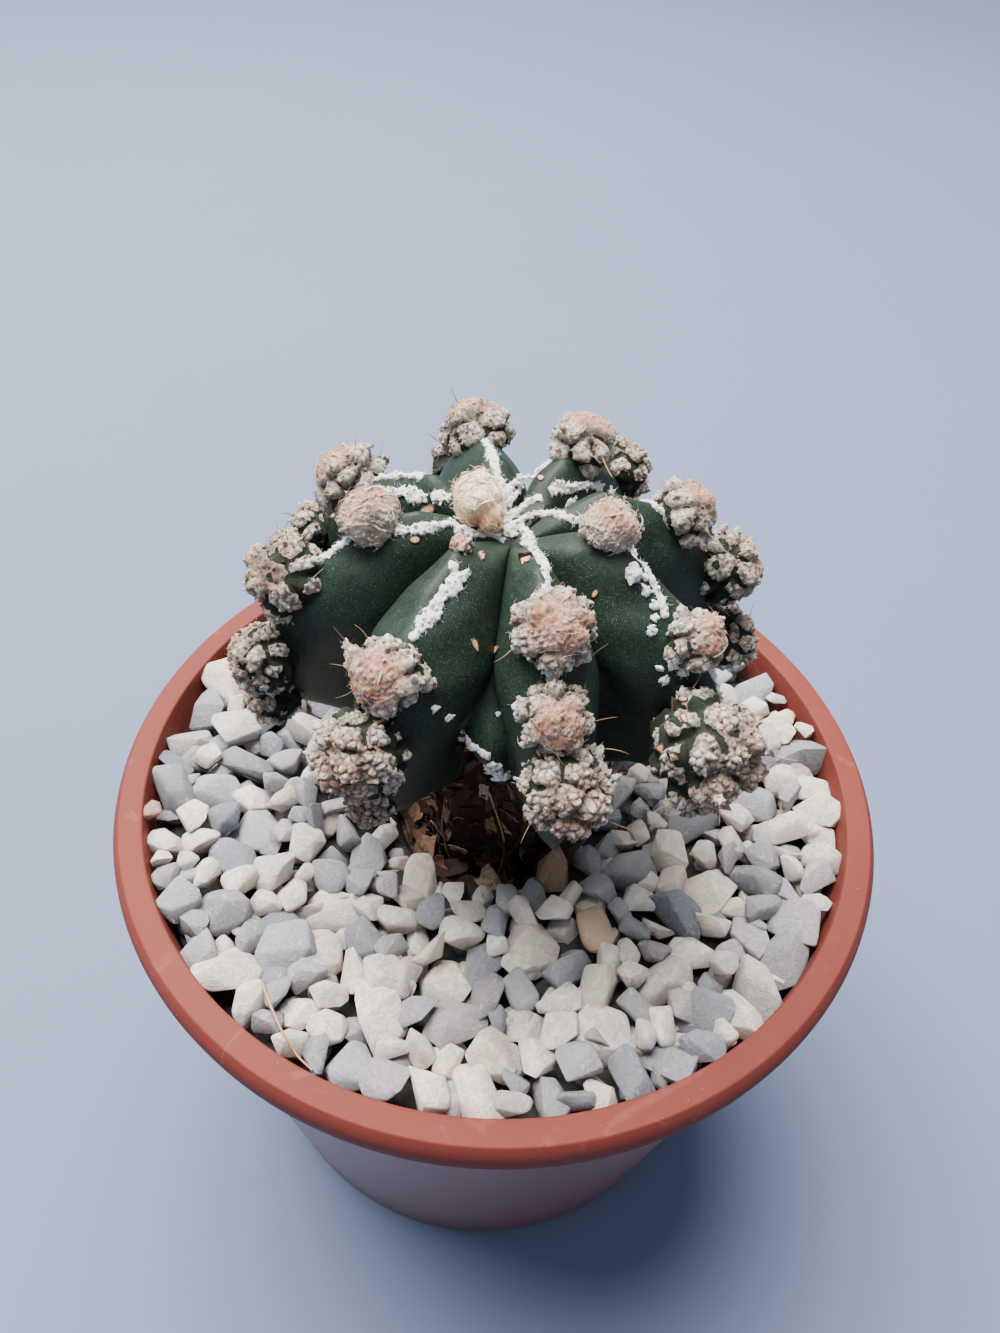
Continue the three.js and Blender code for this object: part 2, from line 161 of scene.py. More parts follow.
class Wire:
    """One output of a node, as a number to reckon with."""

    def __init__(self, board, socket):
        self.board = board
        self.socket = socket

    def reckon(self, operation, *others):
        made = self.board.node("ShaderNodeMath", {"operation": operation}, dict(enumerate((self,) + others)))
        return made[0]

    def __add__(self, other):
        return self.reckon("ADD", other)

    __radd__ = __add__

    def __mul__(self, other):
        return self.reckon("MULTIPLY", other)

    __rmul__ = __mul__

    def __sub__(self, other):
        return self.reckon("SUBTRACT", other)

    def __rsub__(self, other):
        return (self * -1) + other

    def __truediv__(self, other):
        return self.reckon("DIVIDE", other)

    def __rtruediv__(self, other):
        return (self ** -1) * other

    def __pow__(self, other):
        return self.reckon("POWER", other)

    def above(self, edge, blur):
        """0 below the edge and 1 above it, with a soft step of the blur's width."""
        made = self.board.node(
            "ShaderNodeMapRange",
            {"interpolation_type": "SMOOTHSTEP"},
            {"Value": self, "From Min": edge - blur / 2, "From Max": edge + blur / 2},
        )
        return made["Result"]


class Made:
    """A node that was added, with its outputs by name or number."""

    def __init__(self, board, node):
        self.board = board
        self.node = node

    def __getitem__(self, name):
        return Wire(self.board, self.node.outputs[name])


class Board:
    """A node tree and the way to add to it."""

    def __init__(self, tree):
        self.tree = tree

    def node(self, kind, settings=None, sockets=None):
        node = self.tree.nodes.new(kind)
        for name, value in (settings or {}).items():
            if name == "stops":
                self.set_stops(node.color_ramp, value)
            else:
                setattr(node, name, value)
        for name, value in (sockets or {}).items():
            self.feed(node.inputs[name], value)
        return Made(self, node)

    def set_stops(self, ramp, stops):
        while len(ramp.elements) < len(stops):
            ramp.elements.new(1)
        for element, (place, colour) in zip(ramp.elements, stops):
            element.position = place
            element.color = (*colour, 1)

    def feed(self, socket, value):
        if isinstance(value, Wire):
            self.tree.links.new(value.socket, socket)
        else:
            socket.default_value = value

    def chance(self, low, high, seed):
        """A random number for each point, in a geometry tree that has a Seed input."""
        sockets = {2: low, 3: high, "Seed": self.given["Seed"] + seed}
        return self.node("FunctionNodeRandomValue", {"data_type": "FLOAT"}, sockets)[1]


print("boards ready")

# %% [markdown]
# A finish is a Principled material with helpers for what most surfaces share: a noise at a real size in
# millimetres, spots, a mix of two colours and a bump. All patterns run on Object coordinates. The pieces
# sit at the origin, so those are the same as the object's own metres.

# %% Finishes


class Finish(Board):
    """A material under construction."""

    def __init__(self, name, **constants):
        self.material = bpy.data.materials.new(name)
        self.material.use_nodes = True
        super().__init__(self.material.node_tree)
        self.shader = self.tree.nodes["Principled BSDF"]
        self.place = self.node("ShaderNodeTexCoord")["Object"]
        for socket, value in constants.items():
            self.shader.inputs[socket.replace("_", " ")].default_value = value

    def noise(self, size, detail=3, rough=0.55, warp=0.0, seed=0.0):
        """Cloudy noise with patches of that size in mm."""
        made = self.node(
            "ShaderNodeTexNoise",
            {"noise_dimensions": "4D"},
            {"Vector": self.place, "W": seed, "Scale": 1 / (size * MM), "Detail": detail,
             "Roughness": rough, "Distortion": warp},
        )
        return made[0]

    def cells(self, size, feature="F1", stretch=None, output="Distance"):
        """Scattered cells of that size in mm."""
        place = self.place
        if stretch:
            place = self.node("ShaderNodeMapping", {}, {"Vector": place, "Scale": stretch})["Vector"]
        sockets = {"Vector": place, "Scale": 1 / (size * MM)}
        return self.node("ShaderNodeTexVoronoi", {"feature": feature}, sockets)[output]

    def streaks(self, size, seed=0.0, warp=2.5):
        """Curly streaks about that wide in mm and five times as long."""
        place = self.node("ShaderNodeMapping", {}, {"Vector": self.place, "Scale": (1, 0.2, 0.45)})["Vector"]
        made = self.node(
            "ShaderNodeTexNoise",
            {"noise_dimensions": "4D"},
            {"Vector": place, "W": seed, "Scale": 1 / (size * MM), "Detail": 3,
             "Roughness": 0.6, "Distortion": warp},
        )
        return made[0]

    def spots(self, size, share, blur=0.08):
        """1 inside scattered dots, 0 between them."""
        return 1 - self.cells(size).above(share, blur)

    def value_of(self, attribute):
        """A number stored on the mesh under that name."""
        return self.node("ShaderNodeAttribute", {"attribute_name": attribute})["Fac"]

    def height(self):
        """How high the place lies, in mm."""
        return self.node("ShaderNodeSeparateXYZ", {}, {"Vector": self.place})["Z"] / MM

    def mixed(self, share, one, other):
        """The first colour where the share is 0 and the second where it is 1."""
        one = one if isinstance(one, Wire) else (*one, 1)
        other = other if isinstance(other, Wire) else (*other, 1)
        return self.node("ShaderNodeMix", {"data_type": "RGBA"}, {0: share, 6: one, 7: other})[2]

    def ramp(self, share, stops):
        return self.node("ShaderNodeValToRGB", {"stops": stops}, {"Fac": share})["Color"]

    def bump(self, height, depth):
        """A relief whose full height is the depth in mm."""
        made = self.node("ShaderNodeBump", {}, {"Height": height, "Distance": depth * MM, "Strength": 1.0})
        self.feed(self.shader.inputs["Normal"], made["Normal"])

    def wear(self, socket, value):
        self.feed(self.shader.inputs[socket], value if isinstance(value, Wire) else (*value, 1))


print("finishes ready")

# %% [markdown]
# Many pieces start as numbers: a table of places and a table of faces. One helper turns them into a mesh
# and keeps any value per point, such as a tint, for the finish to read. A second helper hangs a mesh in
# the scene. Another gives a ball of triangles, from which the heads, the crown wool, the nodules of felt
# and the crumbs of wool are pressed. The rest join rings with faces, make soft waves, and search or
# gather tables.

# %% Meshes from numbers


def mesh_of(name, places, faces, finish=None, values=None, smooth=True):
    """A mesh from places in mm, with values stored per point."""
    mesh = bpy.data.meshes.new(name)
    mesh.from_pydata((np.asarray(places) * MM).tolist(), [], [tuple(int(i) for i in face) for face in faces])
    for attribute, numbers in (values or {}).items():
        layer = mesh.attributes.new(attribute, "FLOAT", "POINT")
        layer.data.foreach_set("value", np.broadcast_to(numbers, len(places)).astype(np.float32))
    mesh.polygons.foreach_set("use_smooth", [smooth] * len(mesh.polygons))
    if finish:
        mesh.materials.append(finish.material)
    mesh.update()
    return mesh


def hang(mesh):
    """An object at the origin that shows the mesh."""
    piece = bpy.data.objects.new(mesh.name, mesh)
    bpy.context.scene.collection.objects.link(piece)
    return piece


def ball(detail):
    """Unit directions and triangles of a ball with even faces."""
    shape = bmesh.new()
    bmesh.ops.create_icosphere(shape, subdivisions=detail, radius=1)
    places = np.array([corner.co for corner in shape.verts])
    faces = np.array([[corner.index for corner in face.verts] for face in shape.faces])
    shape.free()
    return places / np.linalg.norm(places, axis=1, keepdims=True), faces


def ring_faces(rings, sides):
    """Four-cornered faces between closed rings of places, one ring after another."""
    faces = []
    for ring in range(rings - 1):
        here = ring * sides
        there = here + sides
        for side in range(sides):
            after = (side + 1) % sides
            faces.append((here + side, here + after, there + after, there + side))
    return faces


def turned_over(faces):
    """The same four-cornered faces seen from their other side, from the same first corner."""
    return [(a, d, c, b) for a, b, c, d in faces]


def triangle_count(piece):
    return sum(len(face.vertices) - 2 for face in piece.data.polygons)


def step_between(value, low, high):
    t = np.clip((value - low) / (high - low), 0, 1)
    return t * t * (3 - 2 * t)


def ripple(places, length, seed):
    """Soft random waves of about that length over places, from about -1 to 1."""
    chance = np.random.default_rng(seed)
    ways = chance.normal(size=(9, 3))
    ways /= np.linalg.norm(ways, axis=1, keepdims=True)
    phases = chance.uniform(0, 2 * np.pi, 9)
    return np.sin(places @ ways.T * (2 * np.pi / length) + phases).sum(1) / 3


def face_tree(piece):
    """A search tree of the piece's faces, in mm."""
    corners = [corner.co / MM for corner in piece.data.vertices]
    return BVHTree.FromPolygons(corners, [tuple(face.vertices) for face in piece.data.polygons])


def gathered(parts):
    """Several (places, faces, values) tables as one."""
    offset = 0
    all_faces = []
    for places, faces, _ in parts:
        all_faces += [[corner + offset for corner in face] for face in faces]
        offset += len(places)
    names = parts[0][2].keys()
    values = {
        name: np.concatenate([np.broadcast_to(part[2][name], len(part[0])) for part in parts])
        for name in names
    }
    return np.concatenate([part[0] for part in parts]), all_faces, values


print("a ball of detail 3 has", len(ball(3)[1]), "triangles")

# %% [markdown]
# The pot is moulded in one shot from terracotta-coloured plastic. Like anything turned, it is one outline
# swept about an axis, so the outline is drawn once, with its corners rounded, and Blender's Screw
# modifier sweeps it. The lip is a flat band that stands out from the wall, with a soft outer edge.

# %% Pot outline
BASE_RADIUS = 0.75 * RIM_RADIUS
WALL_TOP_RADIUS = 0.95 * RIM_RADIUS
WALL = 1.5
FLOOR_TOP = 3
LIP_DEPTH = 4.6
POT_STEPS = 192


def outer_wall(height):
    return BASE_RADIUS + (WALL_TOP_RADIUS - BASE_RADIUS) * height / POT_HEIGHT


def inner_wall(height):
    return outer_wall(height) - WALL


def rounded(corners, steps=5):
    """An open outline of (radius, height, rounding) corners, each cut to a short arc."""
    outline = []
    for index, (radius, height, rounding) in enumerate(corners):
        here = np.array((radius, height), float)
        if not rounding:
            outline.append(here)
            continue
        before = np.array(corners[index - 1][:2], float) - here
        after = np.array(corners[index + 1][:2], float) - here
        start = here + before / np.linalg.norm(before) * rounding
        end = here + after / np.linalg.norm(after) * rounding
        for t in np.linspace(0, 1, steps):
            outline.append((1 - t) ** 2 * start + 2 * t * (1 - t) * here + t ** 2 * end)
    return np.array(outline)


pot_outline = rounded([
    (0.01, 1.2, 0),
    (BASE_RADIUS - 4, 1.2, 0.3),
    (BASE_RADIUS - 4.2, 0, 0.3),
    (BASE_RADIUS, 0, 0.6),
    (outer_wall(POT_HEIGHT - 1.8), POT_HEIGHT - 1.8, 0.3),
    (RIM_RADIUS - 1.4, POT_HEIGHT - 1.8, 0.2),
    (RIM_RADIUS - 1.2, POT_HEIGHT - LIP_DEPTH, 0.15),
    (RIM_RADIUS - 0.5, POT_HEIGHT - LIP_DEPTH, 0.3),
    (RIM_RADIUS, POT_HEIGHT - 1.5, 1.1),
    (RIM_RADIUS - 1.1, POT_HEIGHT, 0.16),
    (RIM_RADIUS - 4.0, POT_HEIGHT, 0.3),
    (inner_wall(POT_HEIGHT - 2), POT_HEIGHT - 2, 0.5),
    (inner_wall(FLOOR_TOP), FLOOR_TOP, 1.6),
    (0.01, FLOOR_TOP, 0),
])
print("outline points:", len(pot_outline))

# %% [markdown]
# The plastic has a satin skin that scatters a soft highlight. It isn't evenly coloured: the mould leaves
# cloudy flow marks, dust settles in specks, dried water leaves faint rings, smudges gather low on the
# wall, and handling leaves fine scratches. Below the lip a coat lets the wall reflect the floor, and the
# colour there is painted paler and greyer as well: partly a chalky film, partly a painted reflection of
# the blue-grey floor.

# %% Pot plastic


def pot_plastic_finish():
    finish = Finish(
        "pot_plastic", Roughness=0.5, IOR=1.4, Specular_IOR_Level=0.12, Coat_Roughness=0.38, Coat_IOR=1.7,
    )
    flow = finish.noise(18, detail=4, warp=0.6)
    colour = finish.mixed(flow, (0.128, 0.0265, 0.0195), (0.150, 0.035, 0.0265))
    chalk = finish.noise(9, detail=6, rough=0.7, seed=3).above(0.6, 0.2) * finish.noise(1.2, seed=5)
    colour = finish.mixed(chalk * 0.3, colour, (0.22, 0.095, 0.075))
    # Painted reflection: below the lip the colour is mixed towards a pale grey that stands in for the
    # blue-grey floor reflected in the wall, with a share of chalky film.
    below_lip = 1 - finish.height().above(POT_HEIGHT - 5, 1.5)
    colour = finish.mixed(below_lip * (0.45 + 0.3 * chalk), colour, (0.205, 0.095, 0.092))
    low = 1 - finish.height().above(34, 30)
    smudge = finish.noise(5, detail=5, rough=0.65, seed=8).above(0.6, 0.1) * low
    colour = finish.mixed(smudge * 0.5, colour, (0.07, 0.04, 0.06))
    tide = finish.noise(11, detail=2, warp=0.8, seed=17)
    ring = (tide.above(0.505, 0.008) - tide.above(0.52, 0.008)) * finish.noise(8, seed=19).above(0.6, 0.12)
    colour = finish.mixed(ring * 0.13, colour, (0.36, 0.18, 0.15))
    dust = finish.spots(1.5, 0.05, 0.03) * finish.noise(6, seed=11).above(0.5, 0.2)
    colour = finish.mixed(dust * 0.6, colour, (0.38, 0.27, 0.23))
    scratch = 1 - finish.cells(2.6, "DISTANCE_TO_EDGE", (0.12, 0.12, 2.4)).above(0.02, 0.02)
    scratch = scratch * finish.noise(5, seed=14).above(0.55, 0.1)
    colour = finish.mixed(scratch * 0.2, colour, (0.27, 0.1, 0.075))
    finish.wear("Base Color", colour)
    finish.wear("Roughness", 0.5 + flow * 0.1 + chalk * 0.3 + dust * 0.2)
    finish.wear("Coat Weight", below_lip * 0.9)
    finish.bump(finish.noise(0.5, detail=4) * 0.5 + flow * 0.5 - scratch * 0.6 + dust, 0.05)
    return finish


pot_plastic = pot_plastic_finish()
print("pot plastic has", len(pot_plastic.tree.nodes), "nodes")

# %% [markdown]
# Water leaves through six round holes in the floor. Repeats such as these are set out by Geometry Nodes:
# a circle with one point for each hole, and a peg on every point. The pegs are then cut from the pot.

# %% Geometry node trees


def geometry_board(name, inputs):
    """A geometry tree with named inputs, given as (name, socket type, default value)."""
    tree = bpy.data.node_groups.new(name, "GeometryNodeTree")
    tree.interface.new_socket("Geometry", in_out="INPUT", socket_type="NodeSocketGeometry")
    for label, kind, value in inputs:
        socket = tree.interface.new_socket(label, in_out="INPUT", socket_type=kind)
        if value is not None:
            socket.default_value = value
    tree.interface.new_socket("Geometry", in_out="OUTPUT", socket_type="NodeSocketGeometry")
    board = Board(tree)
    board.given = board.node("NodeGroupInput")
    return board


def close_board(board, geometry, material):
    """Ends a tree: copies made real, the material set."""
    real = board.node("GeometryNodeRealizeInstances", {}, {"Geometry": geometry})["Geometry"]
    return board.node("GeometryNodeSetMaterial", {}, {"Geometry": real, "Material": material})["Geometry"]


def random_turn(board):
    """A random lean off the upright, then a random turn about it."""
    lean = board.given["Lean"]
    across = board.chance(lean * -1, lean, 1)
    along_it = board.chance(lean * -1, lean, 2)
    tip = board.node(
        "ShaderNodeCombineXYZ", {}, {"X": across, "Y": along_it, "Z": board.chance(-math.pi, math.pi, 3)},
    )
    return board.node("FunctionNodeEulerToRotation", {}, {0: tip[0]})[0]


def copies_on(board, points, rotation, scale, picks):
    """A shape on every point, picked at random from the Shapes input."""
    shapes = board.node(
        "GeometryNodeCollectionInfo", {},
        {0: board.given["Shapes"], "Separate Children": True, "Reset Children": True},
    )
    pick = board.node(
        "FunctionNodeRandomValue", {"data_type": "INT"}, {4: 0, 5: picks, "Seed": board.given["Seed"] + 5},
    )
    return board.node(
        "GeometryNodeInstanceOnPoints", {},
        {"Points": points, "Instance": shapes[0], "Pick Instance": True, "Instance Index": pick[2],
         "Rotation": rotation, "Scale": scale},
    )["Instances"]


def grow(piece, board, values):
    """Adds the tree to a piece, each input set by its socket's identifier."""
    modifier = piece.modifiers.new(board.tree.name, "NODES")
    modifier.node_group = board.tree
    for item in board.tree.interface.items_tree:
        if item.item_type == "SOCKET" and item.in_out == "INPUT" and item.name in values:
            modifier[item.identifier] = values[item.name]
    return modifier


def settled(piece):
    """The piece as a plain mesh, with its modifiers worked in and removed."""
    bpy.context.view_layer.update()
    evaluated = piece.evaluated_get(bpy.context.evaluated_depsgraph_get())
    mesh = bpy.data.meshes.new_from_object(evaluated)
    piece.modifiers.clear()
    old = piece.data
    piece.data = mesh
    if old.users == 0:
        bpy.data.meshes.remove(old)
    piece.data.name = piece.name
    return piece


def drain_peg_tree():
    board = geometry_board("drain_pegs", [
        ("Holes", "NodeSocketInt", 6),
        ("Circle", "NodeSocketFloat", 0.022),
        ("Radius", "NodeSocketFloat", 0.002),
        ("Length", "NodeSocketFloat", 0.01),
        ("Material", "NodeSocketMaterial", None),
    ])
    given = board.given
    circle = board.node(
        "GeometryNodeMeshCircle", {}, {"Vertices": given["Holes"], "Radius": given["Circle"]},
    )
    peg = board.node(
        "GeometryNodeMeshCylinder", {},
        {"Vertices": 28, "Radius": given["Radius"], "Depth": given["Length"]},
    )
    pegs = board.node(
        "GeometryNodeInstanceOnPoints", {}, {"Points": circle["Mesh"], "Instance": peg["Mesh"]},
    )
    board.node("NodeGroupOutput", {}, {0: close_board(board, pegs["Instances"], given["Material"])})
    return board


print("peg tree has", len(drain_peg_tree().tree.nodes), "nodes")

# %% Turn the pot and cut its holes


def build_pot():
    places = np.stack([pot_outline[:, 0], np.zeros(len(pot_outline)), pot_outline[:, 1]], 1)
    mesh = bpy.data.meshes.new("moulded_pot")
    mesh.from_pydata((places * MM).tolist(), [(i, i + 1) for i in range(len(places) - 1)], [])
    pot = hang(mesh)
    screw = pot.modifiers.new("turn", "SCREW")
    screw.steps = POT_STEPS
    screw.render_steps = POT_STEPS
    screw.use_merge_vertices = True
    screw.merge_threshold = 0.00002
    settled(pot)
    shape = bmesh.new()
    shape.from_mesh(pot.data)
    bmesh.ops.remove_doubles(shape, verts=shape.verts, dist=0.00002)
    bmesh.ops.recalc_face_normals(shape, faces=shape.faces)
    shape.to_mesh(pot.data)
    shape.free()
    pegs = hang(bpy.data.meshes.new("pegs"))
    grow(pegs, drain_peg_tree(), {"Material": pot_plastic.material})
    settled(pegs)
    cut = pot.modifiers.new("drain", "BOOLEAN")
    cut.object = pegs
    cut.solver = "EXACT"
    settled(pot)
    bpy.data.objects.remove(pegs)
    pot.data.materials.clear()
    pot.data.materials.append(pot_plastic.material)
    pot.data.polygons.foreach_set("material_index", [0] * len(pot.data.polygons))
    pot.data.polygons.foreach_set("use_smooth", [True] * len(pot.data.polygons))
    pot.data.set_sharp_from_angle(angle=math.radians(40))
    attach(pot, "root")
    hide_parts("pot")
    return pot


pot = build_pot()
print("pot faces:", len(pot.data.polygons))

# %% [markdown]
# Most small repeats on the plant and in the pot are scattered by one tree: strands and tufts of wool,
# hairs, spines, crumbs and chips of bark. It throws points on the faces of a piece, no two closer than a
# given spacing, puts a shape picked at random on each, leans and sizes it at random, and joins the result
# to the piece. A value on the piece, named by the Where input, thins the points, and each copy keeps its
# own tint.

# %% Scatter tree


def scatter_tree():
    board = geometry_board("scatter", [
        ("Shapes", "NodeSocketCollection", None),
        ("Material", "NodeSocketMaterial", None),
        ("Where", "NodeSocketString", ""),
        ("Spacing", "NodeSocketFloat", 0.001),
        ("Least size", "NodeSocketFloat", 0.001),
        ("Greatest size", "NodeSocketFloat", 0.001),
        ("Lean", "NodeSocketFloat", 0.4),
        ("Sink", "NodeSocketFloat", 0.0),
        ("Least tint", "NodeSocketFloat", 0.0),
        ("Seed", "NodeSocketInt", 1),
    ])
    given = board.given
    where = board.node("GeometryNodeInputNamedAttribute", {"data_type": "FLOAT"}, {"Name": given["Where"]})
    thrown = board.node(
        "GeometryNodeDistributePointsOnFaces",
        {"distribute_method": "POISSON"},
        {"Mesh": given["Geometry"], "Distance Min": given["Spacing"],
         "Density Max": 4 / (given["Spacing"] * given["Spacing"]), "Density Factor": where["Attribute"],
         "Seed": given["Seed"]},
    )
    turned = board.node(
        "FunctionNodeRotateRotation", {"rotation_space": "LOCAL"},
        {0: thrown["Rotation"], 1: random_turn(board)},
    )
    tinted = board.node(
        "GeometryNodeStoreNamedAttribute", {"data_type": "FLOAT", "domain": "POINT"},
        {"Geometry": thrown["Points"], "Name": "tint", "Value": board.chance(given["Least tint"], 1.0, 4)},
    )
    size = board.chance(given["Least size"], given["Greatest size"], 6)
    copies = copies_on(board, tinted["Geometry"], turned[0], size, 99)
    down = board.node("ShaderNodeCombineXYZ", {}, {"Z": given["Sink"] * -1})
    seated = board.node(
        "GeometryNodeTranslateInstances", {}, {"Instances": copies, "Translation": down[0]},
    )
    closed = close_board(board, seated["Instances"], given["Material"])
    both = board.node("GeometryNodeJoinGeometry", {}, {0: closed})
    board.feed(both.node.inputs[0], given["Geometry"])
    board.node("NodeGroupOutput", {}, {0: both[0]})
    return board


scatter = scatter_tree()
shape_store = []


def shape_set(name, meshes):
    """A collection of unit shapes for the scatter tree to pick from. It is cleared away at the end."""
    collection = bpy.data.collections.new(name)
    for index, mesh in enumerate(meshes):
        shape = bpy.data.objects.new(f"{name}_{index}", mesh)
        collection.objects.link(shape)
        shape_store.append(shape)
    return collection


def strew(piece, shapes, finish, seed, spacing, sizes, lean, where="", sink=0.0, least_tint=0.0):
    """Scatters shapes over a piece. Spacing, sizes and sink are in mm, and the lean is in radians."""
    return grow(piece, scatter, {
        "Shapes": shapes, "Material": finish.material, "Where": where, "Spacing": spacing * MM,
        "Least size": sizes[0] * MM, "Greatest size": sizes[1] * MM, "Lean": lean, "Sink": sink * MM,
        "Least tint": least_tint, "Seed": seed,
    })


print("scatter tree has", len(scatter.tree.nodes), "nodes")

# %% [markdown]
# The soil fills the pot below the gravel and shows only in the dark hollow round the neck, where it is a
# brown litter of bark and old skin. The body of soil is a turned outline with a rough upper side. Thin
# curled chips are strewn round the neck.

# %% Turned solids with rough skins
SOIL_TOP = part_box("soil")[1].z / MM
NECK_HOLE = 11
NECK_DEPTH = 16
LITTER_REACH = 17
CLEARANCE = 0.35


def swept(outline, steps):
    """A closed outline of (radius, height) places swept about the axis, as places and faces."""
    outline = np.asarray(outline)
    rows = len(outline)
    azimuths = np.arange(steps) * 360 / steps
    places = around(azimuths[:, None], outline[None, :, 0], outline[None, :, 1]).reshape(-1, 3)
    faces = []
    for step in range(steps):
        after = (step + 1) % steps
        for row in range(rows):
            above = (row + 1) % rows
            faces.append((step * rows + row, after * rows + row, after * rows + above, step * rows + above))
    return places, faces


def outward_facing(piece):
    """Turns every face of a closed piece outwards."""
    shape = bmesh.new()
    shape.from_mesh(piece.data)
    bmesh.ops.recalc_face_normals(shape, faces=shape.faces)
    shape.to_mesh(piece.data)
    shape.free()
    return piece


def litter_finish():
    finish = Finish("bark_litter", Roughness=0.85)
    tint = finish.value_of("tint")
    colour = finish.ramp(tint, [
        (0.0, (0.012, 0.006, 0.005)), (0.45, (0.055, 0.022, 0.013)), (0.75, (0.13, 0.055, 0.03)),
        (0.93, (0.27, 0.14, 0.085)), (1.0, (0.5, 0.38, 0.3)),
    ])
    grain = finish.noise(0.5, detail=5, rough=0.7)
    colour = finish.mixed(grain.above(0.52, 0.3) * 0.6, colour, (0.01, 0.005, 0.004))
    finish.wear("Base Color", colour)
    finish.bump(grain, 0.25)
    return finish


bark_litter = litter_finish()


def bark_chip(seed):
    """A thin curled chip of unit length."""
    chance = np.random.default_rng(seed)
    along, across = np.meshgrid(np.linspace(-0.5, 0.5, 5), np.linspace(-0.3, 0.3, 4), indexing="ij")
    flat = np.stack([along.ravel(), across.ravel()], 1)
    flat *= 1 + chance.uniform(-0.25, 0.25, flat.shape)
    curl = chance.uniform(0.2, 1.2)
    bend = chance.uniform(-0.3, 0.3) * flat[:, 0] ** 2
    rise = curl * flat[:, 1] ** 2 + bend + chance.uniform(-0.02, 0.02, 20)
    upper = np.column_stack([flat, rise + 0.035])
    lower = np.column_stack([flat, rise - 0.035])
    cells = [
        (i * 4 + j, (i + 1) * 4 + j, (i + 1) * 4 + j + 1, i * 4 + j + 1)
        for i in range(4) for j in range(3)
    ]
    rim = [0, 4, 8, 12, 16, 17, 18, 19, 15, 11, 7, 3, 2, 1]
    faces = list(cells) + [tuple(20 + corner for corner in reversed(cell)) for cell in cells]
    faces += [(rim[k - 1], 20 + rim[k - 1], 20 + rim[k], rim[k]) for k in range(len(rim))]
    return mesh_of(f"bark_chip_{seed}", np.concatenate([upper, lower]) / MM, faces, smooth=False)


bark_chips = shape_set("bark_chips", [bark_chip(seed) for seed in range(6)])
print("bark litter ready")

# %% Soil


def build_soil():
    low = FLOOR_TOP + CLEARANCE
    edge = inner_wall(SOIL_TOP) - CLEARANCE
    across = np.linspace(NECK_HOLE, edge, 40)
    outline = [(r, SOIL_TOP) for r in across]
    outline += [(inner_wall(low + 1.5) - CLEARANCE, low + 1.5), (inner_wall(low) - 2, low), (0.02, low)]
    hole_foot = SOIL_TOP - NECK_DEPTH
    outline += [(0.02, hole_foot), (NECK_HOLE, hole_foot), (NECK_HOLE, SOIL_TOP - NECK_DEPTH / 2)]
    places, faces = swept(outline, 120)
    top = places[:, 2] > SOIL_TOP - 0.01
    places[top, 2] += 0.45 * ripple(places[top], 6, 1) + 0.3 * ripple(places[top], 2, 2) - 0.5
    radius = np.hypot(places[:, 0], places[:, 1])
    near = np.where(top & (radius < LITTER_REACH), 1.0, 0.0)
    soil = hang(mesh_of("soil_litter", places, faces, bark_litter, {"tint": 0.2, "near_neck": near}))
    outward_facing(soil)
    strew(soil, bark_chips, bark_litter, 3, 2.0, (1.8, 5.6), 0.9, where="near_neck")
    settled(soil)
    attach(soil, "root")
    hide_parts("soil")
    return soil


soil = build_soil()
print("soil faces:", len(soil.data.polygons))

# %% [markdown]
# The gravel is crushed limestone: angular chips with worn edges, cream and pale grey, some slate blue, a
# few tan. Each chip is the hull of a few random corners, with its edges bevelled so that they stay a
# little round. The chips are first packed on the flat as discs that push each other apart. Chips that
# lean can still dip into each other, and the outermost ones reach about a millimetre into the wall of the
# pot.

# %% Limestone chips
SHAPES_OF_STONE = 18
CHIP_CORNERS = 14


def limestone_chip(seed):
    """A chip with flat faces and worn edges, its longest side about one unit long."""
    chance = np.random.default_rng(seed)
    ways = chance.normal(size=(CHIP_CORNERS, 3))
    ways /= np.linalg.norm(ways, axis=1, keepdims=True)
    sides = np.array([1, chance.uniform(0.66, 0.9), chance.uniform(0.48, 0.68)]) * 0.56
    corners = ways * chance.uniform(0.86, 1.08, (CHIP_CORNERS, 1)) * sides
    shape = bmesh.new()
    for corner in corners:
        shape.verts.new(corner)
    hull = bmesh.ops.convex_hull(shape, input=shape.verts[:])
    bmesh.ops.delete(shape, geom=list(set(hull["geom_interior"])), context="VERTS")
    bmesh.ops.dissolve_limit(shape, angle_limit=math.radians(16), verts=shape.verts[:], edges=shape.edges[:])
    bmesh.ops.bevel(
        shape, geom=shape.edges[:], offset=chance.uniform(0.045, 0.09), segments=2, profile=0.5,
        affect="EDGES", clamp_overlap=True,
    )
    bmesh.ops.triangulate(shape, faces=shape.faces[:])
    bmesh.ops.recalc_face_normals(shape, faces=shape.faces[:])
    mesh = bpy.data.meshes.new(f"chip_{seed}")
    shape.to_mesh(mesh)
    shape.free()
    mesh.polygons.foreach_set("use_smooth", [True] * len(mesh.polygons))
    return mesh


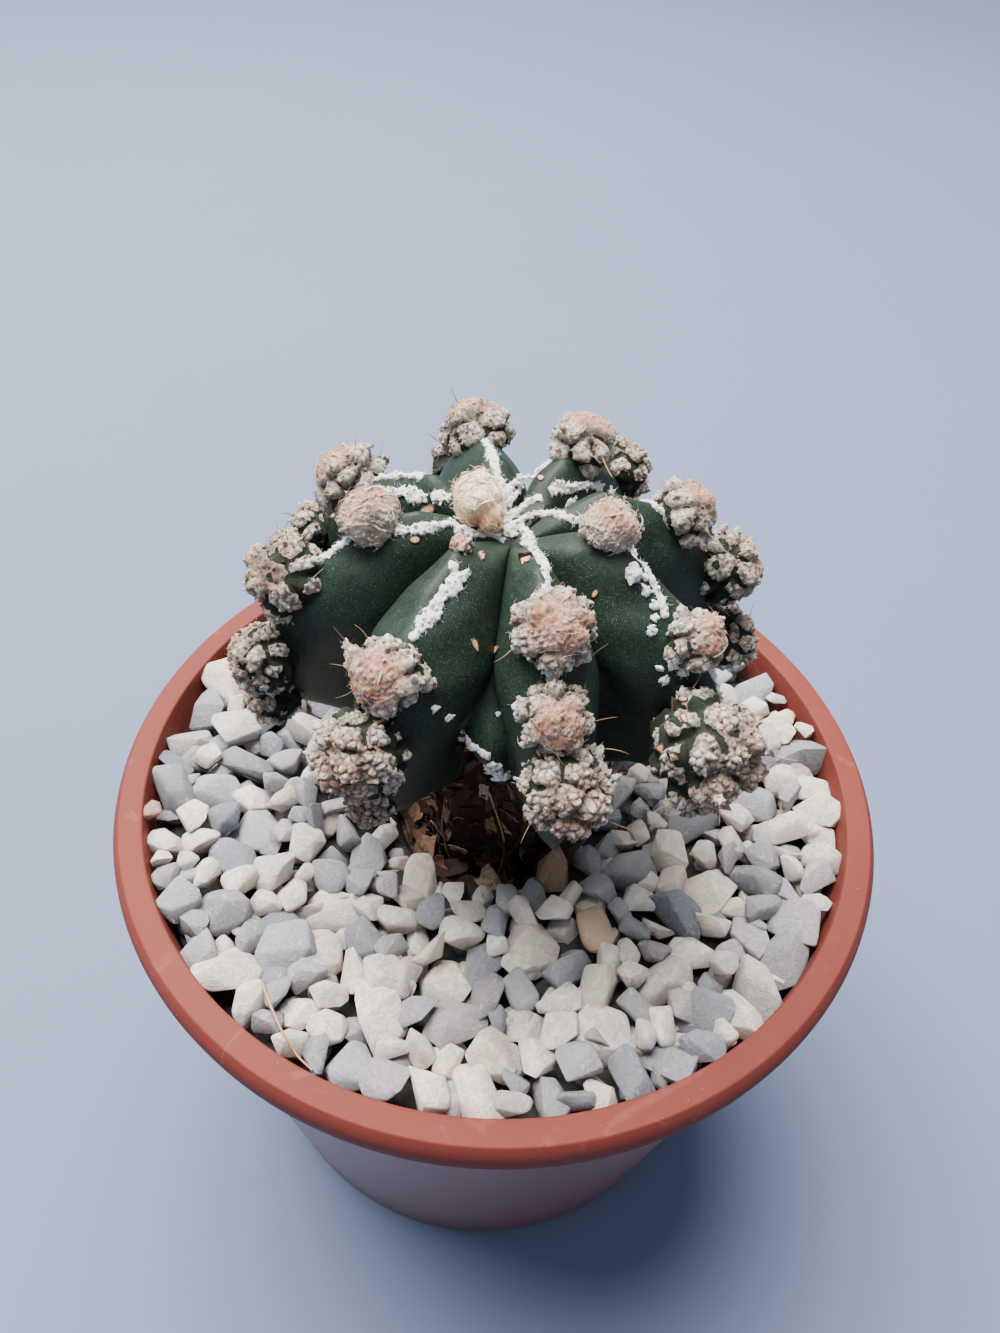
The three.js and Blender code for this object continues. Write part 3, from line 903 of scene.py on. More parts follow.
def limestone_finish():
    finish = Finish("limestone", Roughness=0.8, IOR=1.45)
    tint = finish.value_of("tint")
    shade = finish.value_of("shade")
    colour = finish.ramp(tint, [
        (0.0, (0.80, 0.70, 0.60)), (0.2, (0.58, 0.49, 0.42)), (0.42, (0.82, 0.745, 0.665)),
        (0.54, (0.44, 0.42, 0.415)), (0.64, (0.24, 0.25, 0.295)), (0.80, (0.105, 0.12, 0.165)),
        (0.92, (0.30, 0.305, 0.335)), (0.965, (0.24, 0.12, 0.06)), (1.0, (0.55, 0.37, 0.23)),
    ])
    colour = finish.mixed(shade * 0.5, colour, (0.36, 0.32, 0.29))
    cloud = finish.noise(2.4, detail=5, rough=0.7, warp=0.6)
    colour = finish.mixed(cloud.above(0.58, 0.22) * 0.2, colour, (0.30, 0.25, 0.22))
    chalk = finish.noise(0.9, detail=6, rough=0.8, seed=4).above(0.54, 0.14)
    colour = finish.mixed(chalk * 0.22, colour, (0.74, 0.67, 0.60))
    grain = finish.noise(0.3, detail=5, rough=0.75, seed=7)
    pits = grain.above(0.66, 0.1)
    colour = finish.mixed(pits * 0.28, colour, (0.2, 0.17, 0.16))
    finish.wear("Base Color", colour)
    finish.wear("Roughness", 0.8 + grain * 0.15)
    finish.bump(cloud * 0.6 + chalk * 0.2 + grain * 0.4 - pits * 0.3, 0.32)
    return finish


# Painted shade: a near-black bed under the gravel, standing in for the shade in the gaps between the stones.
def painted_gap_shade_finish():
    finish = Finish("stone_dust", Roughness=0.95)
    grain = finish.noise(0.9, detail=5, rough=0.7)
    finish.wear("Base Color", finish.mixed(grain, (0.014, 0.012, 0.012), (0.06, 0.055, 0.052)))
    finish.bump(grain, 0.6)
    return finish


limestone = limestone_finish()
stone_dust = painted_gap_shade_finish()
chips = shape_set("limestone_chips", [limestone_chip(seed) for seed in range(SHAPES_OF_STONE)])

# %% Stones on points


def stone_tree():
    """Puts a chip on every point of a piece, sized and tinted by the point's own values."""
    board = geometry_board("stones", [
        ("Shapes", "NodeSocketCollection", None),
        ("Material", "NodeSocketMaterial", None),
        ("Lean", "NodeSocketFloat", 0.35),
        ("Seed", "NodeSocketInt", 1),
    ])
    size = board.node("GeometryNodeInputNamedAttribute", {"data_type": "FLOAT"}, {"Name": "size"})
    copies = copies_on(board, board.given["Geometry"], random_turn(board), size["Attribute"], 999)
    board.node("NodeGroupOutput", {}, {0: close_board(board, copies, board.given["Material"])})
    return board


stones = stone_tree()
print("stone tree has", len(stones.tree.nodes), "nodes")

# %% Pack the gravel
GRAVEL_TOP = POT_HEIGHT - 1.6
HOLLOW_FOOT = 13.4
HOLLOW_BRINK = 15.2
HOLLOW_CENTRE = np.array([-0.4, -1.9])
TOP_STONES = 350
LOW_STONES = 270
PACKING_ROUNDS = 150


def from_hollow(spots):
    """How far places on the flat are from the middle of the hollow."""
    return np.linalg.norm(spots - HOLLOW_CENTRE, axis=1)


def packed(count, near, far, lengths, seed):
    """Places on the flat where stones of these lengths lie side by side, round the hollow."""
    chance = np.random.default_rng(seed)
    distance = np.sqrt(chance.uniform(near ** 2, far ** 2, count))
    spots = around(chance.uniform(0, 360, count), distance, 0)[:, :2]
    reach = 0.44 * lengths
    for _ in range(PACKING_ROUNDS):
        gap = spots[:, None] - spots[None]
        apart = np.hypot(gap[..., 0], gap[..., 1]) + np.eye(count) * 1000
        crossing = np.clip(reach[:, None] + reach[None] - apart, 0, None)
        spots = spots + 0.35 * (gap / apart[..., None] * crossing[..., None]).sum(1)
        distance = from_hollow(spots)
        away = np.maximum(distance, near + 0.4 * reach) / distance
        spots = HOLLOW_CENTRE + (spots - HOLLOW_CENTRE) * away[:, None]
        distance = np.hypot(spots[:, 0], spots[:, 1])
        spots *= (np.minimum(distance, far - 0.6 * reach) / distance)[:, None]
    return spots


# The bed that the stones lie on, painted near black as the shade that shows between them.
def bed_in_painted_shade():
    bed = POT_HEIGHT - 6
    foot = SOIL_TOP + CLEARANCE
    wall = inner_wall(bed) - CLEARANCE
    outline = [(HOLLOW_FOOT, foot + 0.2), (HOLLOW_BRINK + 0.4, bed)]
    outline += [(r, bed) for r in np.linspace(HOLLOW_BRINK + 2, wall, 16)]
    outline += [(inner_wall(foot) - CLEARANCE, foot - 0.3), (HOLLOW_FOOT + 1, foot - 0.3)]
    places, faces = swept(outline, 96)
    top = places[:, 2] > bed - 0.01
    places[top, 2] += 0.35 * ripple(places[top], 3, 5)
    return outward_facing(hang(mesh_of("dust_bed", places, faces, stone_dust, {"tint": 0, "shade": 0})))


NAMED_STONES = {
    "brown_by_the_neck": ((555, 860), 7.6, 0.975),
    "stained_slab": ((600, 922), 8.4, 0.99),
    "tan_at_the_left": ((268, 950), 4.4, 0.985),
    "tan_under_the_left_rib": ((150, 815), 4.2, 0.97),
    "cream_slab": ((382, 978), 8.6, 0.42),
    "slate_slab": ((285, 945), 8.8, 0.9),
    "slate_at_the_right": ((702, 1010), 8.2, 0.72),
}


def stones_laid(name, spots, lengths, level, lean, seed, named_stones):
    chance = np.random.default_rng(seed)
    tint = chance.uniform(0, 0.93, len(spots))
    slaty = step_between(spots[:, 1] - spots[:, 0], -18, 30) * chance.uniform(0, 1, len(spots)) > 0.5
    tint = np.where(slaty, chance.uniform(0.52, 0.9, len(spots)), tint)
    slump = 3.4 * np.clip((HOLLOW_BRINK + 3.5 - from_hollow(spots)) / 4, 0, 1) ** 1.3
    for pixel, length, its_tint in named_stones:
        there = seen_at_height(pixel, level - 1)
        nearest = np.linalg.norm(spots - there, axis=1).argmin()
        spots[nearest] = there
        lengths[nearest] = length
        tint[nearest] = its_tint
        slump[nearest] *= 0.5
    banked = step_between(np.hypot(spots[:, 0], spots[:, 1]), 33, 43)
    heights = level - 0.27 * lengths - slump + banked + chance.uniform(-1.0, 0.7, len(spots))
    places = np.column_stack([spots, heights])
    values = {"size": lengths * MM, "tint": tint, "shade": chance.uniform(0, 1, len(spots))}
    layer = hang(mesh_of(name, places, [], None, values))
    grow(layer, stones, {"Shapes": chips, "Material": limestone.material, "Lean": lean, "Seed": seed})
    return settled(layer)


def build_gravel():
    chance = np.random.default_rng(21)
    far = inner_wall(GRAVEL_TOP - 3) - CLEARANCE
    lengths = np.clip(chance.lognormal(math.log(5.8), 0.29, TOP_STONES), 3.1, 10.0)
    top_spots = packed(TOP_STONES, HOLLOW_BRINK, far, lengths, 22)
    top = stones_laid("gravel_stones", top_spots, lengths, GRAVEL_TOP, 0.5, 23, NAMED_STONES.values())
    low_lengths = chance.uniform(3.6, 6.2, LOW_STONES)
    low_spots = packed(LOW_STONES, HOLLOW_BRINK - 1, far - 0.8, low_lengths, 24)
    low = stones_laid("low_stones", low_spots, low_lengths, GRAVEL_TOP - 2.1, 0.9, 25, [])
    bed = bed_in_painted_shade()
    with bpy.context.temp_override(active_object=top, selected_editable_objects=[top, low, bed]):
        bpy.ops.object.join()
    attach(top, "root")
    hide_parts("gravel")
    return top


gravel = build_gravel()
print("gravel triangles:", triangle_count(gravel))

# %% [markdown]
# The body of the plant is the one form that everything else grows on. Two profiles describe it, one along
# the crests of the ribs and one along the grooves, and each rib has its own azimuth, a swing near the
# crown and its own woolly heads. Between groove and crest the skin swells like a cushion. Each head is a
# row of its place along the profile, its degrees beside the crest, its radius and its form.

# %% Ribs and heads
CREST = np.array([
    [[0, 38], [3, 38.8], [6, 41.8], [10, 42.5]],
    [[10, 42.5], [18.5, 40.5], [26.5, 31], [26.5, 20]],
    [[26.5, 20], [26.5, 13], [14, 15], [11, 6]],
    [[11, 6], [9.6, 0], [9.3, -12], [8, -26]],
])
GROOVE = np.array([
    [[0, 38], [1, 38.3], [2.5, 38.8], [5, 38]],
    [[5, 38], [14, 36], [17, 30], [13.5, 24.5]],
    [[13.5, 24.5], [11, 20.5], [9.3, 14], [9.2, 6]],
    [[9.2, 6], [9.1, 0], [9, -12], [7.6, -26]],
])
DRIFT_REACH = 0.45
WAIST = POT_HEIGHT + 20
RIBS = [
    {"crest": -30, "drift": -30, "groove": -4.5, "heads": [
        (0.83, -2, 1.2, "burst"), (1.47, 1, 3.9, "burst"), (1.73, 0, 5.1, "clump"),
        (1.92, 3, 2.5, "clump")]},
    {"crest": 14, "drift": 18, "groove": 38, "heads": [
        (1.24, 0, 4, "burst"), (1.51, -2, 3.5, "burst"), (1.73, 0, 4.7, "clump")]},
    {"crest": 62, "drift": 24, "groove": 86, "heads": [
        (1, 6, 2.9, "ball"), (1.48, -3, 3.3, "burst"), (1.79, -13, 6.3, "clump"),
        (2.07, -9, 3.2, "clump")]},
    {"crest": 107, "drift": 10, "groove": 129, "heads": [
        (1.36, 0, 3.9, "burst"), (1.68, -2, 4.6, "clump"), (1.98, -5, 3.8, "clump")]},
    {"crest": 150, "drift": 0, "groove": 173, "heads": [
        (1.15, 0, 4, "burst"), (1.53, -3, 4, "clump"), (1.86, 2, 4.2, "clump")]},
    {"crest": 196, "drift": 0, "groove": 219, "heads": [
        (1.28, 0, 4.2, "burst"), (1.68, 1, 4.2, "clump"), (1.99, -2, 3.6, "clump")]},
    {"crest": 242, "drift": 0, "groove": 261, "heads": [
        (1.42, 0, 4.4, "burst"), (1.74, 2, 3.8, "clump"), (2.04, -2, 3.4, "clump")]},
    {"crest": 280, "drift": 0, "groove": 302, "heads": [
        (1.17, -2, 3.1, "ball"), (1.56, -2, 4.8, "clump"), (1.86, 4, 4.3, "clump"),
        (2.12, 3, 3.3, "clump")]},
]
SMALL_RIBS = [
    (-6.5, 13, 1.57, 0.47, 14), (129, 9, 1.8, 0.5, 0), (219, 9, 1.7, 0.55, 0), (302, 8, 1.85, 0.45, 0),
]
SMALL_RIB_RAMP = 0.3
RIB_NARROWING = 1.1
LOBE_HEIGHT = 0.28
LOBE_REACH = 1.1
LOBE_MOST = 1.6
HEAD_SEAT = 0.36


def along(stretches, u):
    """Places on joined Bezier stretches, one stretch for each unit of u."""
    u = np.asarray(u, float)
    index = np.clip(np.floor(u).astype(int), 0, len(stretches) - 1)
    t = u - index
    s = 1 - t
    weights = np.stack([s ** 3, 3 * s * s * t, 3 * s * t * t, t ** 3], -1)
    return (weights[..., None] * stretches[index]).sum(-2)


def fullness(across):
    """How far from the groove to the crest a rib stands."""
    return np.clip(1 - np.abs(across) ** 1.35, 0, None) ** 0.62


def narrowing(u):
    """How much narrower a rib is than its sector: below the waist the flanks tuck under."""
    return 1 + RIB_NARROWING * step_between(u, 1.45, 2.3)


def crest_azimuth(rib, u):
    return rib["crest"] + rib["drift"] * np.exp(-np.asarray(u) / DRIFT_REACH)


def azimuth_across(number, u, across):
    """The azimuth of a place across a rib, from -1 in one groove to 1 in the next."""
    rib = RIBS[number]
    crest = crest_azimuth(rib, u)
    before = RIBS[number - 1]["groove"] - (360 if number == 0 else 0)
    return np.where(across < 0, crest + across * (crest - before), crest + across * (rib["groove"] - crest))


def small_rib_fullness(azimuth, u):
    most = np.zeros(np.broadcast(azimuth, u).shape)
    for middle, half_width, start, height, swing in SMALL_RIBS:
        leaned = middle + swing * np.clip(u - start, 0, 1)
        aside = np.abs((azimuth - leaned + 180) % 360 - 180) / half_width
        rise = step_between(u, start, start + SMALL_RIB_RAMP)
        most = np.maximum(most, height * rise * fullness(np.minimum(aside, 1)))
    return most


def rib_place(number, u, across):
    azimuth = azimuth_across(number, u, across)
    full = np.maximum(fullness(across * narrowing(u)), small_rib_fullness(azimuth, u))[..., None]
    place = along(GROOVE, u) * (1 - full) + along(CREST, u) * full
    return around(azimuth, place[..., 0], POT_HEIGHT + place[..., 1])


def outward(places):
    way = places - np.array([0, 0, WAIST])
    return way / np.linalg.norm(way, axis=-1, keepdims=True)


HEADS = []
for number, rib in enumerate(RIBS):
    for order, (u, aside, radius, form) in enumerate(rib["heads"]):
        place = along(CREST, u)
        base = around(crest_azimuth(rib, u) + aside, place[0], POT_HEIGHT + place[1])
        HEADS.append({
            "node": f"wool_{number + 1}_{order + 1}", "rib": number, "u": u, "radius": radius, "form": form,
            "base": base, "axis": outward(base), "centre": base + outward(base) * HEAD_SEAT * radius,
        })


def skin_place(number, u, across):
    """A place on the skin, swelled into a lobe under each head."""
    place = rib_place(number, np.asarray(u, float), np.asarray(across, float))
    swell = np.zeros(place.shape[:-1])
    for head in HEADS:
        distance = np.linalg.norm(place - head["base"], axis=-1) / (LOBE_REACH * head["radius"])
        swell += LOBE_HEIGHT * head["radius"] * np.exp(-distance ** 2)
    return place + outward(place) * np.minimum(swell, LOBE_MOST)[..., None]


print("heads:", len(HEADS))

# %% [markdown]
# The skin is a dark, slightly blue green, with a few paler and yellower patches. It is covered in minute
# pale scales, too small to build, so the finish paints them as fine dots. Where the stem is old, near the
# soil, the skin has turned to rough brown cork.

# %% Green skin


def green_skin_finish():
    finish = Finish("green_skin", Roughness=0.45, IOR=1.4, Specular_IOR_Level=0.3)
    broad = finish.noise(9, detail=3)
    colour = finish.mixed(broad.above(0.5, 0.4), (0.0045, 0.013, 0.007), (0.010, 0.0215, 0.0135))
    mottle = finish.noise(0.55, detail=4, rough=0.7, seed=2)
    colour = finish.mixed(mottle.above(0.55, 0.3) * 0.5, colour, (0.020, 0.036, 0.026))
    fresh = finish.noise(6, seed=9).above(0.64, 0.1) * 0.35
    colour = finish.mixed(fresh, colour, (0.014, 0.035, 0.009))
    speckled = finish.noise(2.2, detail=2, seed=5).above(0.42, 0.3)
    scales = finish.noise(0.11, detail=2, rough=0.6, seed=12).above(0.63, 0.07) * (0.35 + 0.65 * speckled)
    colour = finish.mixed(scales * 0.7, colour, (0.16, 0.21, 0.17))
    # Painted shade: the skin is painted darker towards the soil, where the lower body lies in shade.
    low = 1 - finish.height().above(POT_HEIGHT + 18, 14)
    colour = finish.mixed(low * 0.4, colour, (0.003, 0.0055, 0.0035))
    old = finish.value_of("old") + (finish.noise(3, seed=6) - 0.5) * 0.9
    old = old.above(0.5, 0.25)
    bark = finish.noise(1.6, detail=5, rough=0.7, warp=1.0, seed=7)
    cork = finish.ramp(bark, [
        (0.3, (0.008, 0.004, 0.003)), (0.55, (0.038, 0.014, 0.009)), (0.75, (0.11, 0.05, 0.03)),
    ])
    colour = finish.mixed(old, colour, cork)
    finish.wear("Base Color", colour)
    finish.wear("Roughness", 0.43 + mottle * 0.12 + scales * 0.2 + old * 0.4)
    finish.bump(mottle * 0.35 + scales * 0.4 + bark * old * 4, 0.12)
    return finish


green_skin = green_skin_finish()
print("green skin has", len(green_skin.tree.nodes), "nodes")

# %% Grow the body
ROWS = 156
COLUMNS = 38


def body_grid():
    """The ribbed skin as one closed grid, with a pole at the crown and one in the soil."""
    u_rows = np.linspace(0, len(CREST), ROWS + 1)[1:-1]
    side = np.sin(np.linspace(0, math.pi / 2, COLUMNS // 2 + 1))
    across = np.concatenate([-side[::-1], side[1:-1]])
    columns = [skin_place(number, u_rows[:, None], across[None, :]) for number in range(len(RIBS))]
    grid = np.concatenate(columns, axis=1)
    grid += outward(grid) * (0.16 * ripple(grid.reshape(-1, 3), 5, 31).reshape(grid.shape[:2]))[..., None]
    rows, around_count = grid.shape[:2]
    crown = [0, 0, POT_HEIGHT + CREST[0, 0, 1]]
    foot = [0, 0, POT_HEIGHT + CREST[-1, -1, 1]]
    places = np.concatenate([grid.reshape(-1, 3), [crown, foot]])
    faces = turned_over(ring_faces(rows, around_count))
    for column in range(around_count):
        after = (column + 1) % around_count
        faces.append((rows * around_count, column, after))
        faces.append((rows * around_count + 1, (rows - 1) * around_count + after,
                      (rows - 1) * around_count + column))
    radius = np.hypot(places[:, 0], places[:, 1])
    low = 1 - step_between(places[:, 2], POT_HEIGHT + 16, POT_HEIGHT + 24)
    old = low * (1 - step_between(radius, 11.5, 15))
    return places, faces, {"old": old}


def build_body():
    places, faces, values = body_grid()
    body = hang(mesh_of("ribbed_body", places, faces, green_skin, values))
    outward_facing(body)
    tree = face_tree(body)
    strew(body, bark_chips, bark_litter, 33, 1.9, (0.8, 2.8), 0.5, where="old")
    settled(body)
    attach(body, "root")
    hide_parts("cactus_body")
    return body, tree


body, skin_tree = build_body()
print("body triangles:", triangle_count(body))

# %% [markdown]
# Some things are placed one by one: the felt lines as they wander, the flecks, the seeds. Each is
# named by the pixel of the picture where it is seen. A ray from the camera through that pixel finds the
# place on the piece that is seen there, and the small thing is set by it.

# %% Places seen by the camera


def seen_on(tree, pixel):
    """The place in mm where the camera sees a pixel of the picture on a piece, or None."""
    spot = tree.ray_cast(*ray_through(pixel))[0]
    return None if spot is None else np.array(spot)


def nearest_on(tree, places):
    """The nearest places on a piece and the outward directions there."""
    found = [tree.find_nearest(Vector(place)) for place in places]
    return np.array([spot[0] for spot in found]), np.array([spot[1] for spot in found])


print("crown seen at", np.round(seen_on(skin_tree, (503, 545)), 1))

# %% [markdown]
# Wool breaks from every growing point. Close up it has several scales: a cushioned mass of felted fibres,
# pointed tufts and crumbs pushed out of it, single hairs, and a few thin curved spines at the edge. Each
# of the smaller scales is a set of shapes for the scatter tree. All of them are drawn once, at unit size.

# %% Wool shapes


def tube_along(path, radii, sides):
    """Places and faces of a closed tube along a path, tapered by its radii."""
    path = np.asarray(path, float)
    ways = np.gradient(path, axis=0)
    ways /= np.linalg.norm(ways, axis=1, keepdims=True)
    reference = np.array([0.31, 0.9, 0.3])
    first = np.cross(ways, reference)
    first /= np.linalg.norm(first, axis=1, keepdims=True)
    second = np.cross(ways, first)
    angles = np.arange(sides) * 2 * math.pi / sides
    rings = path[:, None] + np.asarray(radii)[:, None, None] * (
        first[:, None] * np.cos(angles)[None, :, None] + second[:, None] * np.sin(angles)[None, :, None])
    faces = ring_faces(len(path), sides)
    faces.append(tuple(reversed(range(sides))))
    faces.append(tuple((len(path) - 1) * sides + side for side in range(sides)))
    return rings.reshape(-1, 3), faces


def crumb(seed):
    """A small torn lump of felted wool."""
    ways, faces = ball(1)
    places = ways * (1 + 0.42 * ripple(ways, 1.7, seed) + 0.25 * ripple(ways, 0.8, seed + 50))[:, None]
    return mesh_of(f"crumb_{seed}", places / MM, faces)


def tuft(seed):
    """A pointed tuft, thick at its foot, of unit height."""
    chance = np.random.default_rng(seed)
    t = np.linspace(-0.25, 1, 7)
    bend = chance.uniform(-0.35, 0.35, 2)
    path = np.stack([bend[0] * t ** 2, bend[1] * t ** 2, t], 1)
    places, faces = tube_along(path, [0.2, 0.4, 0.46, 0.4, 0.29, 0.16, 0.03], 6)
    lumps = 0.09 * ripple(places, 0.6, seed) + 0.07 * ripple(places, 0.25, seed + 9)
    return mesh_of(f"tuft_{seed}", (places + places * [1, 1, 0] * 3 * lumps[:, None]) / MM, faces)


def curl(seed):
    """A single hair, bent at random."""
    chance = np.random.default_rng(seed)
    t = np.linspace(0, 1, 4)
    bend = chance.uniform(-0.6, 0.6, 2)
    kink = chance.uniform(-0.2, 0.2, 2)
    path = np.stack([bend[i] * t ** 2 + kink[i] * np.sin(t * 5) for i in (0, 1)] + [t * 0.9], 1)
    places, faces = tube_along(path, [0.035, 0.033, 0.025, 0.007], 3)
    return mesh_of(f"curl_{seed}", places / MM, faces)


def strand(seed, half_width=0.012, most=0.6):
    """A fibre, or a flat lock of them, that lies round a ball of unit radius."""
    chance = np.random.default_rng(seed)
    t = np.linspace(-1, 1, 7)
    angle = most * t
    lift = 1 + 0.05 * (1 - t ** 2) * chance.uniform(0.2, 1)
    aside = 0.16 * np.sin(angle * chance.uniform(2, 5) + chance.uniform(0, 6))
    path = np.stack([lift * np.sin(angle), 0 * aside, lift * np.cos(angle) - 1], 1)
    thin = np.full(7, min(half_width, 0.018)) * (1.05 - t ** 2)
    places, faces = tube_along(path, thin, 3 if half_width < 0.03 else 6)
    widened = (half_width / 0.018 if half_width > 0.018 else 1) * places[:, 1]
    places[:, 1] = widened + np.repeat(aside, len(places) // 7)
    return mesh_of(f"strand_{seed}", places / MM, faces)


def spine(seed):
    """A thin curved spine."""
    chance = np.random.default_rng(seed)
    t = np.linspace(0, 1, 7)
    bend = chance.uniform(0.15, 0.45)
    path = np.stack([bend * t ** 2, 0.1 * np.sin(3 * t) * chance.uniform(-1, 1), t], 1)
    places, faces = tube_along(path, 0.03 * (1 - 0.85 * t) + 0.004, 4)
    return mesh_of(f"spine_{seed}", places / MM, faces)


crumbs = shape_set("wool_crumbs", [crumb(seed) for seed in range(10)])
tufts = shape_set("wool_tufts", [tuft(seed) for seed in range(8)])
curls = shape_set("wool_hairs", [curl(seed) for seed in range(7)])
strands = shape_set("wool_strands", [strand(seed) for seed in range(7)])
locks = shape_set("wool_locks", [strand(20 + seed, 0.05, 0.42) for seed in range(7)])
spines = shape_set("spines", [spine(seed) for seed in range(5)])
print("wool shapes:", len(shape_store))

# %% [markdown]
# Wool needs a finish that looks soft: high roughness, a little sheen for the light that fine hairs catch
# at the edge, and a fine fibrous relief. Its colour runs from the pink brown of old inner wool to the
# near white of the tufts, by a tint that the mesh and each copy carry. Creases between the cushions and
# the gaps between fibres are painted dark, as painted shade.

# %% Wool, felt and spine finishes


def head_wool_finish():
    finish = Finish("head_wool", Roughness=0.92, IOR=1.4, Specular_IOR_Level=0.15, Sheen_Weight=0.08)
    colour = finish.ramp(finish.value_of("tint"), [
        (0.0, (0.46, 0.15, 0.075)), (0.22, (0.72, 0.30, 0.17)), (0.45, (0.88, 0.50, 0.33)),
        (0.7, (0.96, 0.75, 0.56)), (0.88, (0.98, 0.89, 0.77)), (1.0, (0.98, 0.95, 0.89)),
    ])
    fibre = finish.noise(0.2, detail=4, rough=0.75, warp=1.8)
    tangle = finish.noise(0.34, detail=2, warp=1.2, seed=21)
    hairs = tangle.above(0.47, 0.03) - tangle.above(0.53, 0.03)
    streak = finish.streaks(0.3)
    # Painted shade: the gaps between fibres are painted a darker brown.
    colour = finish.mixed((1 - fibre.above(0.42, 0.2)) * 0.42, colour, (0.32, 0.13, 0.07))
    colour = finish.mixed(hairs * 0.25, colour, (0.96, 0.86, 0.74))
    colour = finish.mixed((1 - streak.above(0.42, 0.1)) * 0.28, colour, (0.26, 0.10, 0.055))
    patch = finish.noise(1.2, detail=4, seed=4).above(0.55, 0.15)
    colour = finish.mixed(patch * 0.3, colour, (0.95, 0.90, 0.82))
    stain = finish.noise(2.1, detail=3, seed=8).above(0.6, 0.16)
    colour = finish.mixed(stain * 0.42, colour, (0.56, 0.25, 0.135))
    bare = finish.value_of("green") + (fibre - 0.5) * 0.7
    skin = finish.mixed(patch, (0.008, 0.021, 0.008), (0.020, 0.044, 0.015))
    colour = finish.mixed(bare.above(0.5, 0.2), colour, skin)
    # Painted shade: the creases between cushions and curds are painted near black.
    colour = finish.mixed(finish.value_of("crease") * 0.9, colour, (0.03, 0.016, 0.010))
    finish.wear("Base Color", colour)
    finish.bump(fibre * 0.7 + patch * 0.4 + streak * 0.8 + hairs * 0.6, 0.34)
    return finish


def crest_felt_finish():
    finish = Finish("crest_felt", Roughness=0.92, IOR=1.4, Sheen_Weight=0.25, Sheen_Roughness=0.5)
    fibre = finish.noise(0.17, detail=5, rough=0.75, warp=1.6)
    white = finish.mixed(fibre.above(0.4, 0.2), (0.66, 0.64, 0.61), (0.93, 0.925, 0.91))
    pink = finish.mixed(fibre.above(0.42, 0.2), (0.55, 0.33, 0.24), (0.88, 0.74, 0.64))
    colour = finish.mixed(finish.value_of("aged"), white, pink)
    stain = finish.noise(1.6, detail=3, seed=3).above(0.64, 0.1)
    colour = finish.mixed(stain * 0.3, colour, (0.62, 0.50, 0.40))
    finish.wear("Base Color", colour)
    finish.bump(fibre, 0.2)
    return finish


def spine_finish():
    finish = Finish("spine_horn", Roughness=0.5)
    colour = finish.ramp(finish.value_of("tint"), [
        (0.0, (0.05, 0.024, 0.013)), (0.5, (0.24, 0.13, 0.06)), (1.0, (0.55, 0.42, 0.26)),
    ])
    finish.wear("Base Color", finish.mixed(finish.noise(0.4, seed=2) * 0.5, colour, (0.2, 0.13, 0.08)))
    finish.bump(finish.noise(0.15), 0.02)
    return finish


head_wool = head_wool_finish()
crest_felt = crest_felt_finish()
spine_horn = spine_finish()
print("wool finishes ready")

# %% [markdown]
# There are three kinds of head. A young one is a ball of matted fibre. An older one has burst: a pink,
# felted middle inside a ring of pale, pointed lobes. The lowest have grown into clumps of green lobes,
# woolly at their tips. The core of each is a ball raised twice: into lobes, each place belonging to its
# nearest seat so that the borders are creases, and then, where it is woolly, into curds about a
# millimetre across.

# %% Grow the woolly heads
LOBES = {"ball": 10, "burst": 19, "clump": 22}
CORE_SIZE = {"ball": 0.93, "burst": 0.80, "clump": 0.80}
LOBE_SWELL = {"ball": 0.08, "burst": 0.36, "clump": 0.27}
CURDS_PER_AREA = 14
CURD_RISE = {"ball": 0.1, "burst": 0.32, "clump": 0.62}
FINE_FROM = 2.8


def cushions(ways, count, chance):
    """How proud each place stands in its cushion, how near its tip, and the cushion's number."""
    k = np.arange(count) + 0.5
    level = 1 - 2 * k / count
    turn = k * math.pi * (3 - math.sqrt(5))
    ring = np.sqrt(1 - level ** 2)
    seats = np.stack([ring * np.cos(turn), ring * np.sin(turn), level], 1)
    seats += chance.normal(size=seats.shape) * 0.8 / math.sqrt(count)
    seats /= np.linalg.norm(seats, axis=1, keepdims=True)
    apart = np.sqrt(np.clip(2 - 2 * ways @ seats.T, 0, None))
    nearest = np.partition(apart, 1, axis=1)[:, :2] * math.sqrt(count)
    proud = step_between(nearest[:, 1] - nearest[:, 0], 0.0, 1.4)
    tip = step_between(nearest[:, 0], 1.5, 0.0)
    return proud, tip, apart.argmin(1)


def is_near(head):
    """Whether the camera sees the head close by, so that it deserves a finer ball."""
    return head["radius"] > FINE_FROM and (head["rib"] in (0, 1, 2) or head["form"] == "ball")


